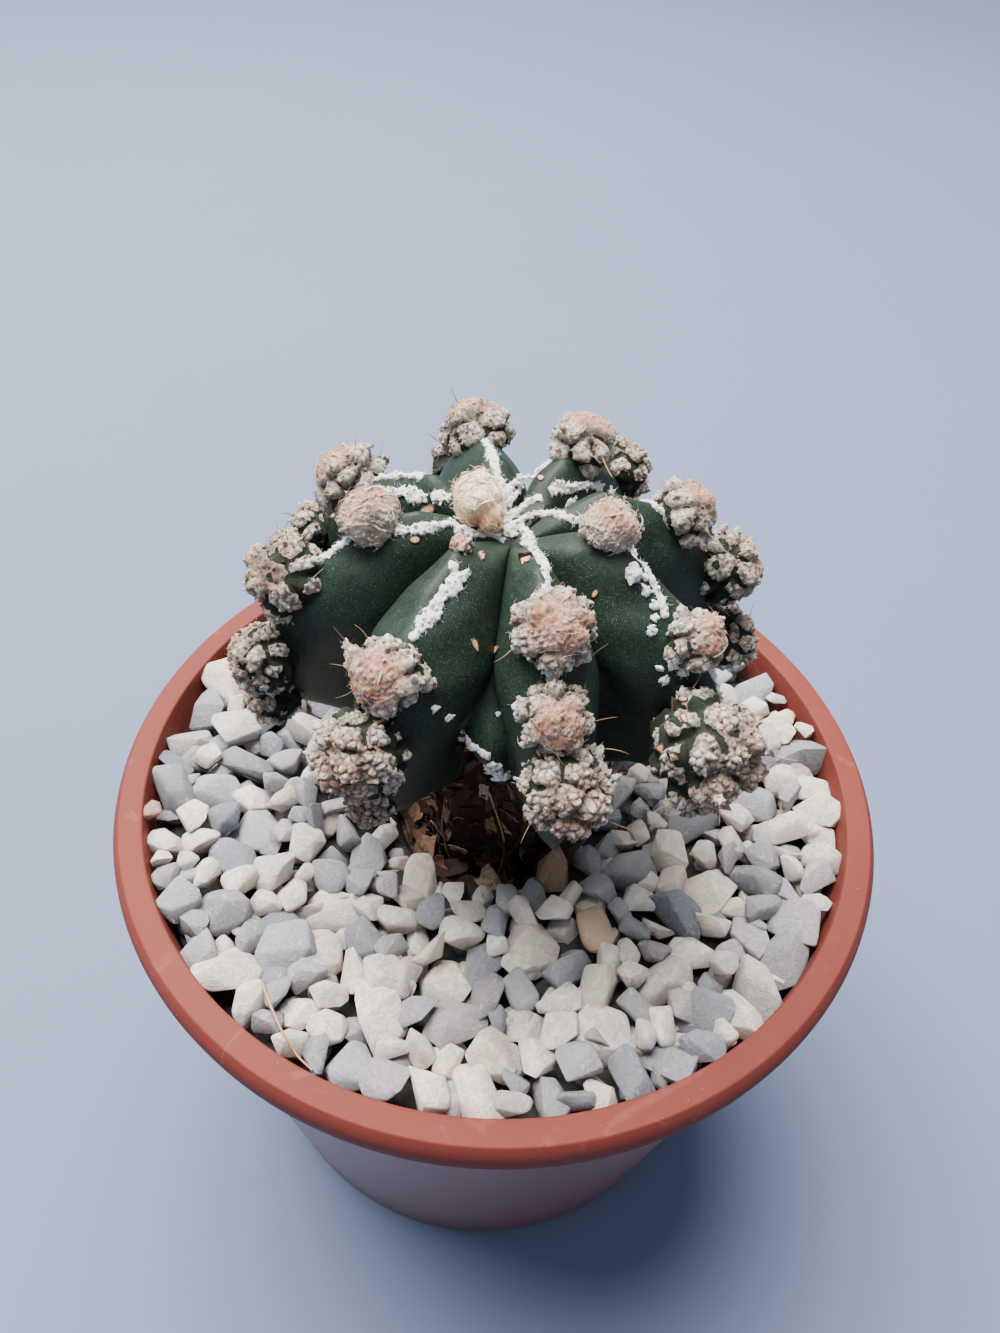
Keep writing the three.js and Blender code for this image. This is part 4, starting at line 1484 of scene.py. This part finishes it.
def head_core(head, seed):
    """The lobed and curdled ball, with values for the finish and for what is strewn on it."""
    chance = np.random.default_rng(seed)
    form, radius = head["form"], head["radius"]
    ways, faces = ball(6 if is_near(head) else 5)
    facing = ways @ head["axis"]
    proud, tip, lobe = cushions(ways, LOBES[form], chance)
    taller = chance.uniform(0, 1, LOBES[form])[lobe]
    curds = round(CURDS_PER_AREA * radius ** 2)
    if form == "ball":
        facing = np.maximum(facing, ways[:, 2])
    curd, _, which = cushions(ways, curds, chance)
    curd_rise = chance.uniform(0.1, 1, curds)[which]
    uneven = ripple(ways * radius, 2.4, seed + 3)
    middle = step_between(facing + 0.12 * uneven, 0.45, 0.8) if form != "clump" else 0 * facing
    wool_from = {"ball": -0.9, "burst": 0.0, "clump": 0.5}[form]
    cover = step_between(proud + 0.85 * facing + 0.3 * uneven + 0.4 * (curd_rise - 0.5) - wool_from, 0, 0.25)
    rise = LOBE_SWELL[form] * (0.3 + 0.8 * taller) * (0.75 * proud + 0.45 * tip ** 2) * (1 - 0.6 * middle)
    rise += 0.1 * middle * (form == "burst") + 0.05 * ripple(ways, 1.2, seed)
    matted = 1 - 0.55 * middle
    rise += CURD_RISE[form] / radius * curd_rise ** 1.5 * curd * cover * matted
    rise += 0.09 / radius * ripple(ways * radius, 0.62, seed + 4) * cover
    rise += 0.05 / radius * ripple(ways * radius, 0.36, seed + 6) * cover
    places = head["centre"] + ways * (CORE_SIZE[form] * radius * (1 + rise))[:, None]
    tint = 0.79 + 0.2 * tip * (1 - cover * step_between(facing, 0.3, 0.9)) + 0.3 * (curd_rise - 0.5) * curd
    tint += 0.1 * uneven - (0.42 if form == "ball" else 0.5) * middle
    if form == "clump":
        tint -= 0.3 * step_between(facing + 0.5 * uneven, 0.3, 0.9)
    # Painted shade: how deep each place lies in a crease between lobes or curds, for the finish to paint
    # dark.
    big_crease_shade = (1 - proud) ** 0.7 * {"ball": 0.3, "burst": 1.0, "clump": 0.8}[form]
    small_crease_shade = (1 - curd) ** 0.8 * {"ball": 0.2, "burst": 0.75, "clump": 0.95}[form]
    crease = np.maximum(big_crease_shade, small_crease_shade) * (1 - 0.8 * middle)
    hanging = step_between(-ways[:, 2], 0.25, 0.7) * (facing > -0.5)
    values = {
        "tint": np.clip(tint, 0.03, 0.99), "crease": crease * (0.4 + 0.6 * cover), "green": 1 - cover,
        "woolly": cover * (1 - 0.9 * middle) * (facing > -0.7), "hairy": cover * (facing > -0.6),
        "matted": np.broadcast_to(middle if form == "burst" else float(form == "ball"), facing.shape),
        "hanging": hanging, "spiny": step_between(tip, 0.55, 0.85) * (facing > -0.45) * (facing < 0.8),
    }
    return places, faces.tolist(), values


def build_head(head, seed):
    radius = head["radius"]
    form = head["form"]
    places, faces, values = head_core(head, seed)
    wool = hang(mesh_of(f"dressed_{head['node']}", places, faces, head_wool, values))
    outward_facing(wool)
    if form == "ball":
        strew(wool, strands, head_wool, seed, 0.8, (0.86 * radius, radius), 0.1, "matted", 0.03, 0.5)
        strew(wool, locks, head_wool, seed + 1, 1.35, (0.9 * radius, radius), 0.08, "matted", 0.04, 0.55)
        strew(wool, tufts, head_wool, seed + 2, 1.2, (0.4, 1.2), 0.9, "hanging", 0.15, 0.4)
    elif form == "burst":
        strew(wool, strands, head_wool, seed, 0.8, (0.5 * radius, 0.8 * radius), 0.3, "matted", 0.03, 0.2)
        strew(wool, locks, head_wool, seed + 1, 2.0, (0.5 * radius, 0.7 * radius), 0.35, "matted", 0.05, 0.5)
    if form != "ball":
        strew(wool, tufts, head_wool, seed + 2, 1.3, (0.35, 0.26 * radius), 0.5, "spiny", 0.25, 0.6)
    strew(wool, crumbs, head_wool, seed + 3, 0.62, (0.07, 0.24), 0.9, "woolly", 0.0, 0.45)
    hair_spacing = 1.3 if form == "ball" else 0.85
    strew(wool, curls, head_wool, seed + 4, hair_spacing, (0.25, 0.8), 1.2, "hairy", 0.0, 0.5)
    strew(wool, spines, spine_horn, seed + 5, 1.25, (1.3, 2.6), 0.5, "spiny")
    settled(wool)
    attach(wool, "root")
    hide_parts(head["node"])
    return wool


woolly_heads = [build_head(head, 40 + 7 * index) for index, head in enumerate(HEADS)]
print("triangles in the heads:", sum(triangle_count(wool) for wool in woolly_heads))

# %% [markdown]
# A white felt line wanders along each crest. It is a seam of packed wool about a millimetre wide, nearly
# flat, with torn, hairy edges, and it breaks up into nodules here and there. On the side that the picture
# shows, the lines are traced by pixel. On the far side they follow the crest of the skin formula.

# %% Felt lines
FELT_THICKNESS = 0.3
FELT_SUNK = 0.25
FELT_STEP = 0.22
FELT_STATIONS = 9
FELT_TRACES = {
    1: [([(503, 541), (492, 535), (480, 533), (466, 531), (454, 529)], 0.5),
        ([(460, 572), (452, 585), (444, 597), (436, 609), (427, 621), (410, 640)], 0.74),
        ([(444, 585), (437, 597), (430, 608)], 0.22)],
    2: [([(513, 521), (520, 526), (528, 534), (533, 548)], 0.42),
        ([(533, 548), (540, 560), (546, 575), (548, 597)], 0.52),
        ([(545, 658), (546, 668), (549, 680), (551, 690)], 0.5),
        ([(560, 658), (559, 668), (557, 680)], 0.34)],
    3: [([(520, 521), (526, 518), (534, 514), (543, 512), (555, 514), (568, 518), (583, 521)], 0.42),
        ([(628, 542), (636, 555), (645, 570), (654, 585), (661, 597), (667, 618)], 0.32)],
    4: [([(508, 519), (516, 512), (524, 505), (534, 500), (542, 497)], 0.42),
        ([(549, 491), (556, 487), (564, 489)], 0.6),
        ([(564, 489), (577, 486), (590, 485), (602, 487)], 0.4),
        ([(612, 489), (626, 492), (641, 499), (655, 508), (667, 517)], 0.35)],
    5: [([(501, 499), (510, 487), (520, 478), (530, 470), (540, 464), (554, 457), (567, 451)], 0.5),
        ([(507, 506), (514, 496), (520, 484)], 0.3)],
    6: [],
    7: [([(450, 499), (440, 496), (432, 500)], 0.5),
        ([(427, 497), (412, 495), (396, 493), (376, 491)], 0.55)],
    8: [([(457, 524), (440, 526), (420, 530), (400, 529), (388, 526)], 0.45)],
}
FELT_NODULES = {
    1: [((453, 567), 0.48), ((463, 577), 0.5), ((466, 574), 0.35), ((449, 582), 0.35)],
    2: [((510, 533), 0.62), ((526, 545), 0.66), ((518, 528), 0.4), ((525, 538), 0.4)],
    3: [((633, 574), 0.85), ((645, 577), 0.4), ((646, 591), 0.5), ((655, 606), 0.45), ((655, 618), 0.4),
        ((652, 631), 0.5), ((673, 664), 0.62), ((682, 672), 0.5), ((664, 680), 0.5), ((660, 668), 0.36)],
    4: [((569, 504), 0.6), ((574, 501), 0.35)],
    7: [((437, 498), 0.45)],
}
CREST_FELT_FROM = {1: 1.5, 2: 1.25, 3: 1.5, 4: 1.42, 5: 1.2, 6: 0.13, 7: 1.05, 8: 1.2}
CREST_FELT_HALF_WIDTH = 0.5
FELT_ROOM = -0.3


def clear_stretches(number):
    """The stretches of a crest that no head covers, as paths."""
    heads = [head for head in HEADS if head["rib"] == number - 1]
    steps = np.arange(CREST_FELT_FROM[number], heads[-1]["u"], 0.01)
    crest = skin_place(number - 1, steps, np.zeros(len(steps)))
    apart = [np.linalg.norm(crest - head["centre"], axis=1) - head["radius"] for head in heads]
    clear = np.all(np.array(apart) > FELT_ROOM, axis=0)
    edges = np.flatnonzero(np.diff(np.concatenate([[False], clear, [False]]).astype(int)))
    return [crest[a:b] for a, b in zip(edges[::2], edges[1::2]) if b - a > 8]


def felt_over(path, half_width, seed):
    """A ribbon of felt draped along a path on the skin: nearly flat, with torn edges."""
    path = np.asarray(path)
    reach = np.concatenate([[0], np.cumsum(np.linalg.norm(np.diff(path, axis=0), axis=1))])
    rows = max(8, int(reach[-1] / FELT_STEP))
    stops = np.linspace(0, reach[-1], rows)
    line = np.stack([np.interp(stops, reach, path[:, axis]) for axis in range(3)], 1)
    for _ in range(6):
        line[1:-1] = (line[:-2] + 2 * line[1:-1] + line[2:]) / 4
    line, up = nearest_on(skin_tree, line)
    ways = np.gradient(line, axis=0)
    aside = np.cross(ways, up)
    aside /= np.linalg.norm(aside, axis=1, keepdims=True)
    trace = np.stack([stops, np.zeros(rows), np.zeros(rows)], 1)
    torn = [1 + 0.36 * ripple(trace, 3.1, seed + k) + 0.3 * ripple(trace, 0.8, seed + 4 + k) for k in (0, 1)]
    station = np.linspace(-1, 1, FELT_STATIONS)
    by_side = np.where(station[None] < 0, torn[0][:, None], torn[1][:, None]).clip(0.3)
    width = by_side * station[None] * half_width
    spread = line[:, None] + aside[:, None] * width[..., None]
    skin, up = nearest_on(skin_tree, spread.reshape(-1, 3))
    lumps = (1 + 0.45 * ripple(skin, 1.2, seed + 8) + 0.35 * ripple(skin, 0.55, seed + 9)).clip(0.15)
    dome = np.tile(np.sqrt(1 - 0.97 * station ** 4), rows)
    from_end = np.minimum(np.arange(rows), np.arange(rows)[::-1])
    ends = np.repeat(np.minimum(1, from_end / 2 + 0.25), FELT_STATIONS)
    rise = FELT_THICKNESS * (0.6 + 0.6 * half_width) * dome * ends * lumps
    upper = (skin + up * rise[:, None]).reshape(rows, FELT_STATIONS, 3)
    lower = (skin - up * FELT_SUNK).reshape(rows, FELT_STATIONS, 3)[:, ::-1]
    ring = np.concatenate([upper, lower], 1)
    sides = 2 * FELT_STATIONS
    faces = ring_faces(rows, sides)
    faces.append(tuple(reversed(range(sides))))
    faces.append(tuple((rows - 1) * sides + side for side in range(sides)))
    edge = np.concatenate([np.abs(station) ** 3, np.zeros(FELT_STATIONS)])
    top = np.concatenate([np.ones(FELT_STATIONS), np.zeros(FELT_STATIONS)])
    values = {"woolly": np.tile(top, rows), "hairy": np.tile(edge, rows), "aged": 0.0}
    return ring.reshape(-1, 3), faces, values


def felt_nodule(place, size, seed):
    """A blob of felt pressed on the skin."""
    ways, faces = ball(3)
    spot, up = nearest_on(skin_tree, [place])
    raised = 1 + 0.3 * ripple(ways, 1.4, seed) + 0.12 * ripple(ways, 0.5, seed + 1)
    places = ways * (size * raised)[:, None]
    places -= 0.45 * (places @ up[0])[:, None] * up[0]
    top = step_between(ways @ up[0], -0.1, 0.3)
    return places + spot + 0.2 * size * up, faces.tolist(), {"woolly": top, "hairy": 0.4 * top, "aged": 0.0}


def traced(pixels):
    places = [seen_on(skin_tree, pixel) for pixel in pixels]
    return [place for place in places if place is not None]


def build_felt(number):
    seed = 900 + 20 * number
    parts = [felt_over(traced(trace), half, seed + k) for k, (trace, half) in enumerate(FELT_TRACES[number])]
    bare = clear_stretches(number)
    parts += [felt_over(path, CREST_FELT_HALF_WIDTH, seed + 5 + k) for k, path in enumerate(bare)]
    nodules = FELT_NODULES.get(number, [])
    parts += [
        felt_nodule(traced([pixel])[0], size, seed + 10 + k) for k, (pixel, size) in enumerate(nodules)
    ]
    places, faces, values = gathered(parts)
    reach = np.linalg.norm(places - CROWN_CENTRE, axis=1)
    values["aged"] = 0.9 * (1 - step_between(reach, 5.5, 13)) if number in (3, 4) else np.zeros(len(places))
    felt = hang(mesh_of(f"felt_line_{number}", places, faces, crest_felt, values))
    outward_facing(felt)
    strew(felt, crumbs, crest_felt, seed, 0.5, (0.07, 0.24), 0.9, "woolly")
    strew(felt, curls, crest_felt, seed + 1, 0.22, (0.25, 0.7), 1.45, "hairy")
    settled(felt)
    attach(felt, "root")
    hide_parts(*[node for node in frame["nodes"] if node.startswith(f"felt_{number}_")])
    return felt


crown_low, crown_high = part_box("crown_wool")
CROWN_CENTRE = np.array((crown_low + crown_high) / 2) / MM
CROWN_SIZE = max(crown_high - crown_low) / 2 / MM
felts = [build_felt(number) for number in FELT_TRACES]
print("felt lines:", {felt.name: len(felt.data.polygons) for felt in felts})

# %% [markdown]
# A ball of cream, silky wool sits at the crown, wound like a cocoon, with a smaller pinkish lobe below
# it. Fibres that curve with the ball lie on it in many directions, over a softly uneven core.

# %% Crown wool


def crown_silk_finish():
    finish = Finish("crown_silk", Roughness=0.8, IOR=1.4, Sheen_Weight=0.15, Sheen_Roughness=0.45)
    fibre = finish.streaks(0.24, seed=4, warp=4)
    colour = finish.ramp(finish.value_of("tint"), [
        (0.0, (0.84, 0.36, 0.19)), (0.3, (0.95, 0.60, 0.33)),
        (0.7, (0.99, 0.80, 0.50)), (1.0, (0.99, 0.92, 0.72)),
    ])
    colour = finish.mixed((1 - fibre.above(0.42, 0.2)) * 0.45, colour, (0.80, 0.46, 0.24))
    finish.wear("Base Color", colour)
    finish.bump(fibre, 0.14)
    return finish


crown_silk = crown_silk_finish()
CROWN_TIP = np.array([0.1, 0.15, 1.0])
SIDE_LOBE_WAY = np.array([0.68, -0.55, -0.48])


def silk_ball(centre, size, seed):
    ways, faces = ball(5 if size > 2 else 4)
    peak = 0.1 * np.clip(ways @ (CROWN_TIP / np.linalg.norm(CROWN_TIP)), 0, None) ** 4
    lumps = 0.08 * ripple(ways, 1.3, seed) + 0.045 * ripple(ways, 0.5, seed + 1)
    lumps += 0.02 * ripple(ways, 0.22, seed + 3)
    places = ways * (size * (0.97 + peak + lumps))[:, None]
    tint = 0.5 + 0.5 * ways[:, 2] + 0.18 * ripple(ways, 0.8, seed + 2) - (0.45 if size < 2 else 0)
    return centre + places, faces.tolist(), {"tint": np.clip(tint, 0, 1), "hairy": 1.0}


def build_crown():
    size = 0.82 * CROWN_SIZE
    lobe = CROWN_CENTRE + 0.8 * size * SIDE_LOBE_WAY / np.linalg.norm(SIDE_LOBE_WAY)
    places, faces, values = gathered([silk_ball(CROWN_CENTRE, size, 61), silk_ball(lobe, 0.62 * size, 71)])
    crown = hang(mesh_of("crown_ball", places, faces, crown_silk, values))
    strew(crown, strands, crown_silk, 62, 0.5, (0.85 * size, 1.1 * size), 0.14, "hairy", 0.0, 0.4)
    strew(crown, locks, crown_silk, 64, 0.9, (0.9 * size, 1.05 * size), 0.16, "hairy", 0.0, 0.5)
    strew(crown, curls, crown_silk, 63, 0.4, (0.3, 0.9), 1.3, "hairy", 0.0, 0.4)
    settled(crown)
    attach(crown, "root")
    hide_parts("crown_wool")
    return crown


crown = build_crown()
print("crown faces:", len(crown.data.polygons))

# %% [markdown]
# Small things lie on the plant: tan seeds, husks and dry scars with dark rims, and white flecks of felt
# on the small rib and under the heads. Each seed is a low, nearly flat plate whose outline is pressed
# from a circle, rounder for a seed and three-cornered for a scar. A dry needle lies over the gravel, and
# two fine roots lie in the hollow.

# %% Seeds, scars and flecks
SEEDS = {
    "seed_by_left_dent": ((428, 511), 8.5, 6.5, 0.15, 10),
    "seed_on_left_shoulder": ((415, 540), 6, 4.2, 0.0, 0),
    "chip_under_small_head": ((482, 555), 3.8, 5.2, 0.55, 10),
    "scar_on_right_shoulder": ((525, 559), 6.5, 8.5, 0.55, -6),
    "scar_by_big_head": ((595, 594), 3, 5, 0.1, -35),
    "seed_at_back": ((541, 478), 4, 3.2, 0.2, 0),
    "scar_on_left_rib": ((475, 645), 3.2, 8, 0.3, 20),
    "scar_in_groove": ((496, 650), 2.2, 5.5, 0.2, -20),
    "husk_in_left_clump": ((362, 703), 7, 4.5, 0.2, -30),
    "husk_below_left_head": ((378, 720), 9, 5, 0.4, -20),
    "curled_husk": ((377, 748), 6, 2.6, 0.2, -35),
    "seed_in_front_clump": ((540, 752), 3.5, 5, 0.1, 20),
    "second_seed_in_front_clump": ((535, 760), 3.2, 4.5, 0.1, -10),
    "seed_in_right_clump": ((683, 699), 5.5, 3.2, 0.0, 5),
    "husk_in_right_clump": ((684, 718), 3.5, 6, 0.4, 30),
    "low_husk_in_right_clump": ((673, 757), 7, 4, 0.6, -30),
    "lowest_husk_in_right_clump": ((661, 749), 4, 6, 0.5, 30),
}
FLECK_TRACES = {
    "edge_of_the_small_rib": ([(461, 730), (465, 737), (472, 745), (480, 752), (487, 757)], 0.36),
    "foot_of_the_small_rib": ([(485, 766), (491, 770), (499, 775), (508, 778)], 0.45),
}
FLECKS = [
    ((463, 734), 0.3), ((469, 740), 0.42), ((477, 747), 0.3), ((487, 755), 0.4), ((492, 764), 0.5),
    ((497, 766), 0.46), ((500, 771), 0.4), ((488, 772), 0.36), ((505, 775), 0.5), ((496, 778), 0.42),
    ((435, 708), 0.42), ((448, 717), 0.36), ((452, 716), 0.24), ((498, 714), 0.26),
]


def seed_finish():
    finish = Finish("dry_seed", Roughness=0.6)
    grain = finish.noise(0.35, detail=4, rough=0.7)
    face = finish.mixed(grain, (0.34, 0.17, 0.07), (0.62, 0.38, 0.19))
    finish.wear("Base Color", finish.mixed(finish.value_of("edge"), face, (0.02, 0.01, 0.006)))
    finish.bump(grain, 0.06)
    return finish


PLATE_SIDES = 20
PLATE_DEEPEST = 1.2
PLATE_RINGS = np.array([0.0, 0.4, 0.68, 0.8, 1.0, 1.1])
PLATE_RISE = np.array([0.15, 0.15, 0.14, 0.11, 0.05, -0.25])
PLATE_EDGE = np.array([0.0, 0.0, 0.15, 1.0, 1.0, 1.0])


def dry_plate(pixel, half_wide, half_high, corners, turn):
    """A low plate on the skin or the wool, sized in pixels and turned in degrees as it is seen."""
    middle = seen_on(plant_tree, pixel)
    angle = np.arange(PLATE_SIDES) * 2 * math.pi / PLATE_SIDES
    bulge = 1 + corners * 0.4 * np.cos(3 * (angle + math.pi / 2))
    wide = PLATE_RINGS[:, None] * (half_wide * bulge * np.cos(angle))[None]
    high = PLATE_RINGS[:, None] * (half_high * bulge * np.sin(angle))[None]
    lean = math.radians(turn)
    x = pixel[0] + wide * math.cos(lean) - high * math.sin(lean)
    y = pixel[1] - wide * math.sin(lean) - high * math.cos(lean)
    eye, _ = ray_through(pixel)
    toward = np.array(eye) - middle
    toward /= np.linalg.norm(toward)
    spots = []
    for px, py in zip(x.ravel(), y.ravel()):
        spot = seen_on(plant_tree, (px, py))
        if spot is None or abs((spot - middle) @ toward) > PLATE_DEEPEST:
            way = np.array(ray_through((px, py))[1])
            spot = np.array(eye) + way * ((middle - np.array(eye)) @ toward) / (way @ toward)
        spots.append(spot)
    _, up = nearest_on(plant_tree, [middle])
    places = np.array(spots) + up * np.repeat(PLATE_RISE, PLATE_SIDES)[:, None]
    faces = turned_over(ring_faces(len(PLATE_RINGS), PLATE_SIDES))
    last_ring = (len(PLATE_RINGS) - 1) * PLATE_SIDES
    faces.append(tuple(range(PLATE_SIDES)))
    faces.append(tuple(reversed(range(last_ring, last_ring + PLATE_SIDES))))
    return places, faces, {"edge": np.repeat(PLATE_EDGE, PLATE_SIDES)}


def tree_of_all(pieces):
    """One search tree of the faces of several pieces."""
    corners = []
    faces = []
    for piece in pieces:
        offset = len(corners)
        corners += [corner.co / MM for corner in piece.data.vertices]
        faces += [tuple(corner + offset for corner in face.vertices) for face in piece.data.polygons]
    return BVHTree.FromPolygons(corners, faces)


plant_tree = tree_of_all([body, *woolly_heads])


def build_seeds():
    on_plant = [seed for seed in SEEDS.values() if seen_on(plant_tree, seed[0]) is not None]
    places, faces, values = gathered([dry_plate(*seed) for seed in on_plant])
    print("seeds that the camera sees on the plant:", len(on_plant), "of", len(SEEDS))
    seeds = hang(mesh_of("seeds_and_scars", places, faces, seed_finish(), values))
    outward_facing(seeds)
    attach(seeds, "root")
    return seeds


def build_flecks():
    traces = FLECK_TRACES.values()
    parts = [felt_over(traced(trace), half, 330 + k) for k, (trace, half) in enumerate(traces)]
    parts += [felt_nodule(traced([pixel])[0], size, 300 + k) for k, (pixel, size) in enumerate(FLECKS)]
    places, faces, values = gathered(parts)
    flecks = hang(mesh_of("felt_flecks", places, faces, crest_felt, values))
    outward_facing(flecks)
    strew(flecks, crumbs, crest_felt, 301, 0.4, (0.06, 0.16), 0.9, "woolly")
    settled(flecks)
    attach(flecks, "root")
    return flecks


THREADS = {
    "needle_on_the_gravel": ([(262, 982), (270, 1005), (284, 1036), (297, 1056), (312, 1070)], 0.17),
    "root_in_the_hollow": ([(489, 792), (497, 815), (506, 845), (500, 872), (482, 896)], 0.14),
    "second_root": ([(447, 800), (441, 822), (446, 850), (458, 872)], 0.1),
}
THREAD_LIFT = 0.5


def build_threads():
    """Dry threads that lie where the camera sees them, over whatever is under them."""
    ground = tree_of_all([body, *woolly_heads, gravel])
    parts = []
    for pixels, radius in THREADS.values():
        path = np.array([seen_on(ground, pixel) for pixel in pixels])
        steps = np.linspace(0, len(path) - 1, 25)
        path = np.stack([np.interp(steps, np.arange(len(path)), path[:, axis]) for axis in range(3)], 1)
        for _ in range(5):
            path[1:-1] = (path[:-2] + 2 * path[1:-1] + path[2:]) / 4
        way = np.array(ray_through(pixels[0])[0]) - path
        path += THREAD_LIFT * way / np.linalg.norm(way, axis=1, keepdims=True)
        places, faces = tube_along(path, radius * (1 - 0.4 * np.linspace(0, 1, 25)), 6)
        parts.append((places, faces, {"edge": 0.15}))
    places, faces, values = gathered(parts)
    threads = hang(mesh_of("dry_threads", places, faces, seed_finish(), values))
    outward_facing(threads)
    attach(threads, "root")
    return threads


seeds = build_seeds()
flecks = build_flecks()
threads = build_threads()
print("seeds and scars:", len(SEEDS), "flecks:", len(FLECKS))

# %% [markdown]
# The floor is a plain blue-grey sheet. Two lights do the work: the even light of a pale room, and one
# large soft panel high behind the left shoulder of the plant, which draws the sheen on the upper skin and
# a soft shadow under the heads.

# %% Floor and light


def floor_finish():
    finish = Finish("plain_floor", Roughness=0.8)
    finish.wear("Base Color", finish.mixed(finish.noise(60), (0.106, 0.136, 0.222), (0.113, 0.143, 0.232)))
    return finish


FLOOR_HALF = 2000
ROOM_COLOUR = (0.76, 0.87, 1.0, 1)
ROOM_LIGHT = 0.54
PANEL_PLACE = (-0.25, 0.34, 1.02)
PANEL_AIM = (0, 0, 0.09)
PANEL_ACROSS = 1.1
PANEL_WATTS = 76
PANEL_COLOUR = (1.0, 0.97, 0.93)


def build_stage():
    half = FLOOR_HALF
    corners = [(-half, -half, 0), (half, -half, 0), (half, half, 0), (-half, half, 0)]
    floor = hang(mesh_of("floor", corners, [(0, 1, 2, 3)], floor_finish()))
    world = bpy.data.worlds.new("pale_room")
    world.use_nodes = True
    bpy.context.scene.world = world
    background = world.node_tree.nodes["Background"]
    background.inputs["Color"].default_value = ROOM_COLOUR
    background.inputs["Strength"].default_value = ROOM_LIGHT
    panel = bpy.data.lights.new("soft_panel", "AREA")
    panel.shape = "DISK"
    panel.size = PANEL_ACROSS
    panel.energy = PANEL_WATTS
    panel.color = PANEL_COLOUR
    light = bpy.data.objects.new("soft_panel", panel)
    light.location = PANEL_PLACE
    light.rotation_euler = (Vector(PANEL_AIM) - light.location).to_track_quat("-Z", "Y").to_euler()
    bpy.context.scene.collection.objects.link(light)
    return floor


floor = build_stage()
print("stage set")

# %% [markdown]
# The shapes that were only patterns for the scatter tree are cleared away, with the collections left empty.

# %% Clear up and finish
for shape in shape_store:
    bpy.data.objects.remove(shape)
for collection in list(bpy.data.collections):
    if not collection.objects:
        bpy.data.collections.remove(collection)
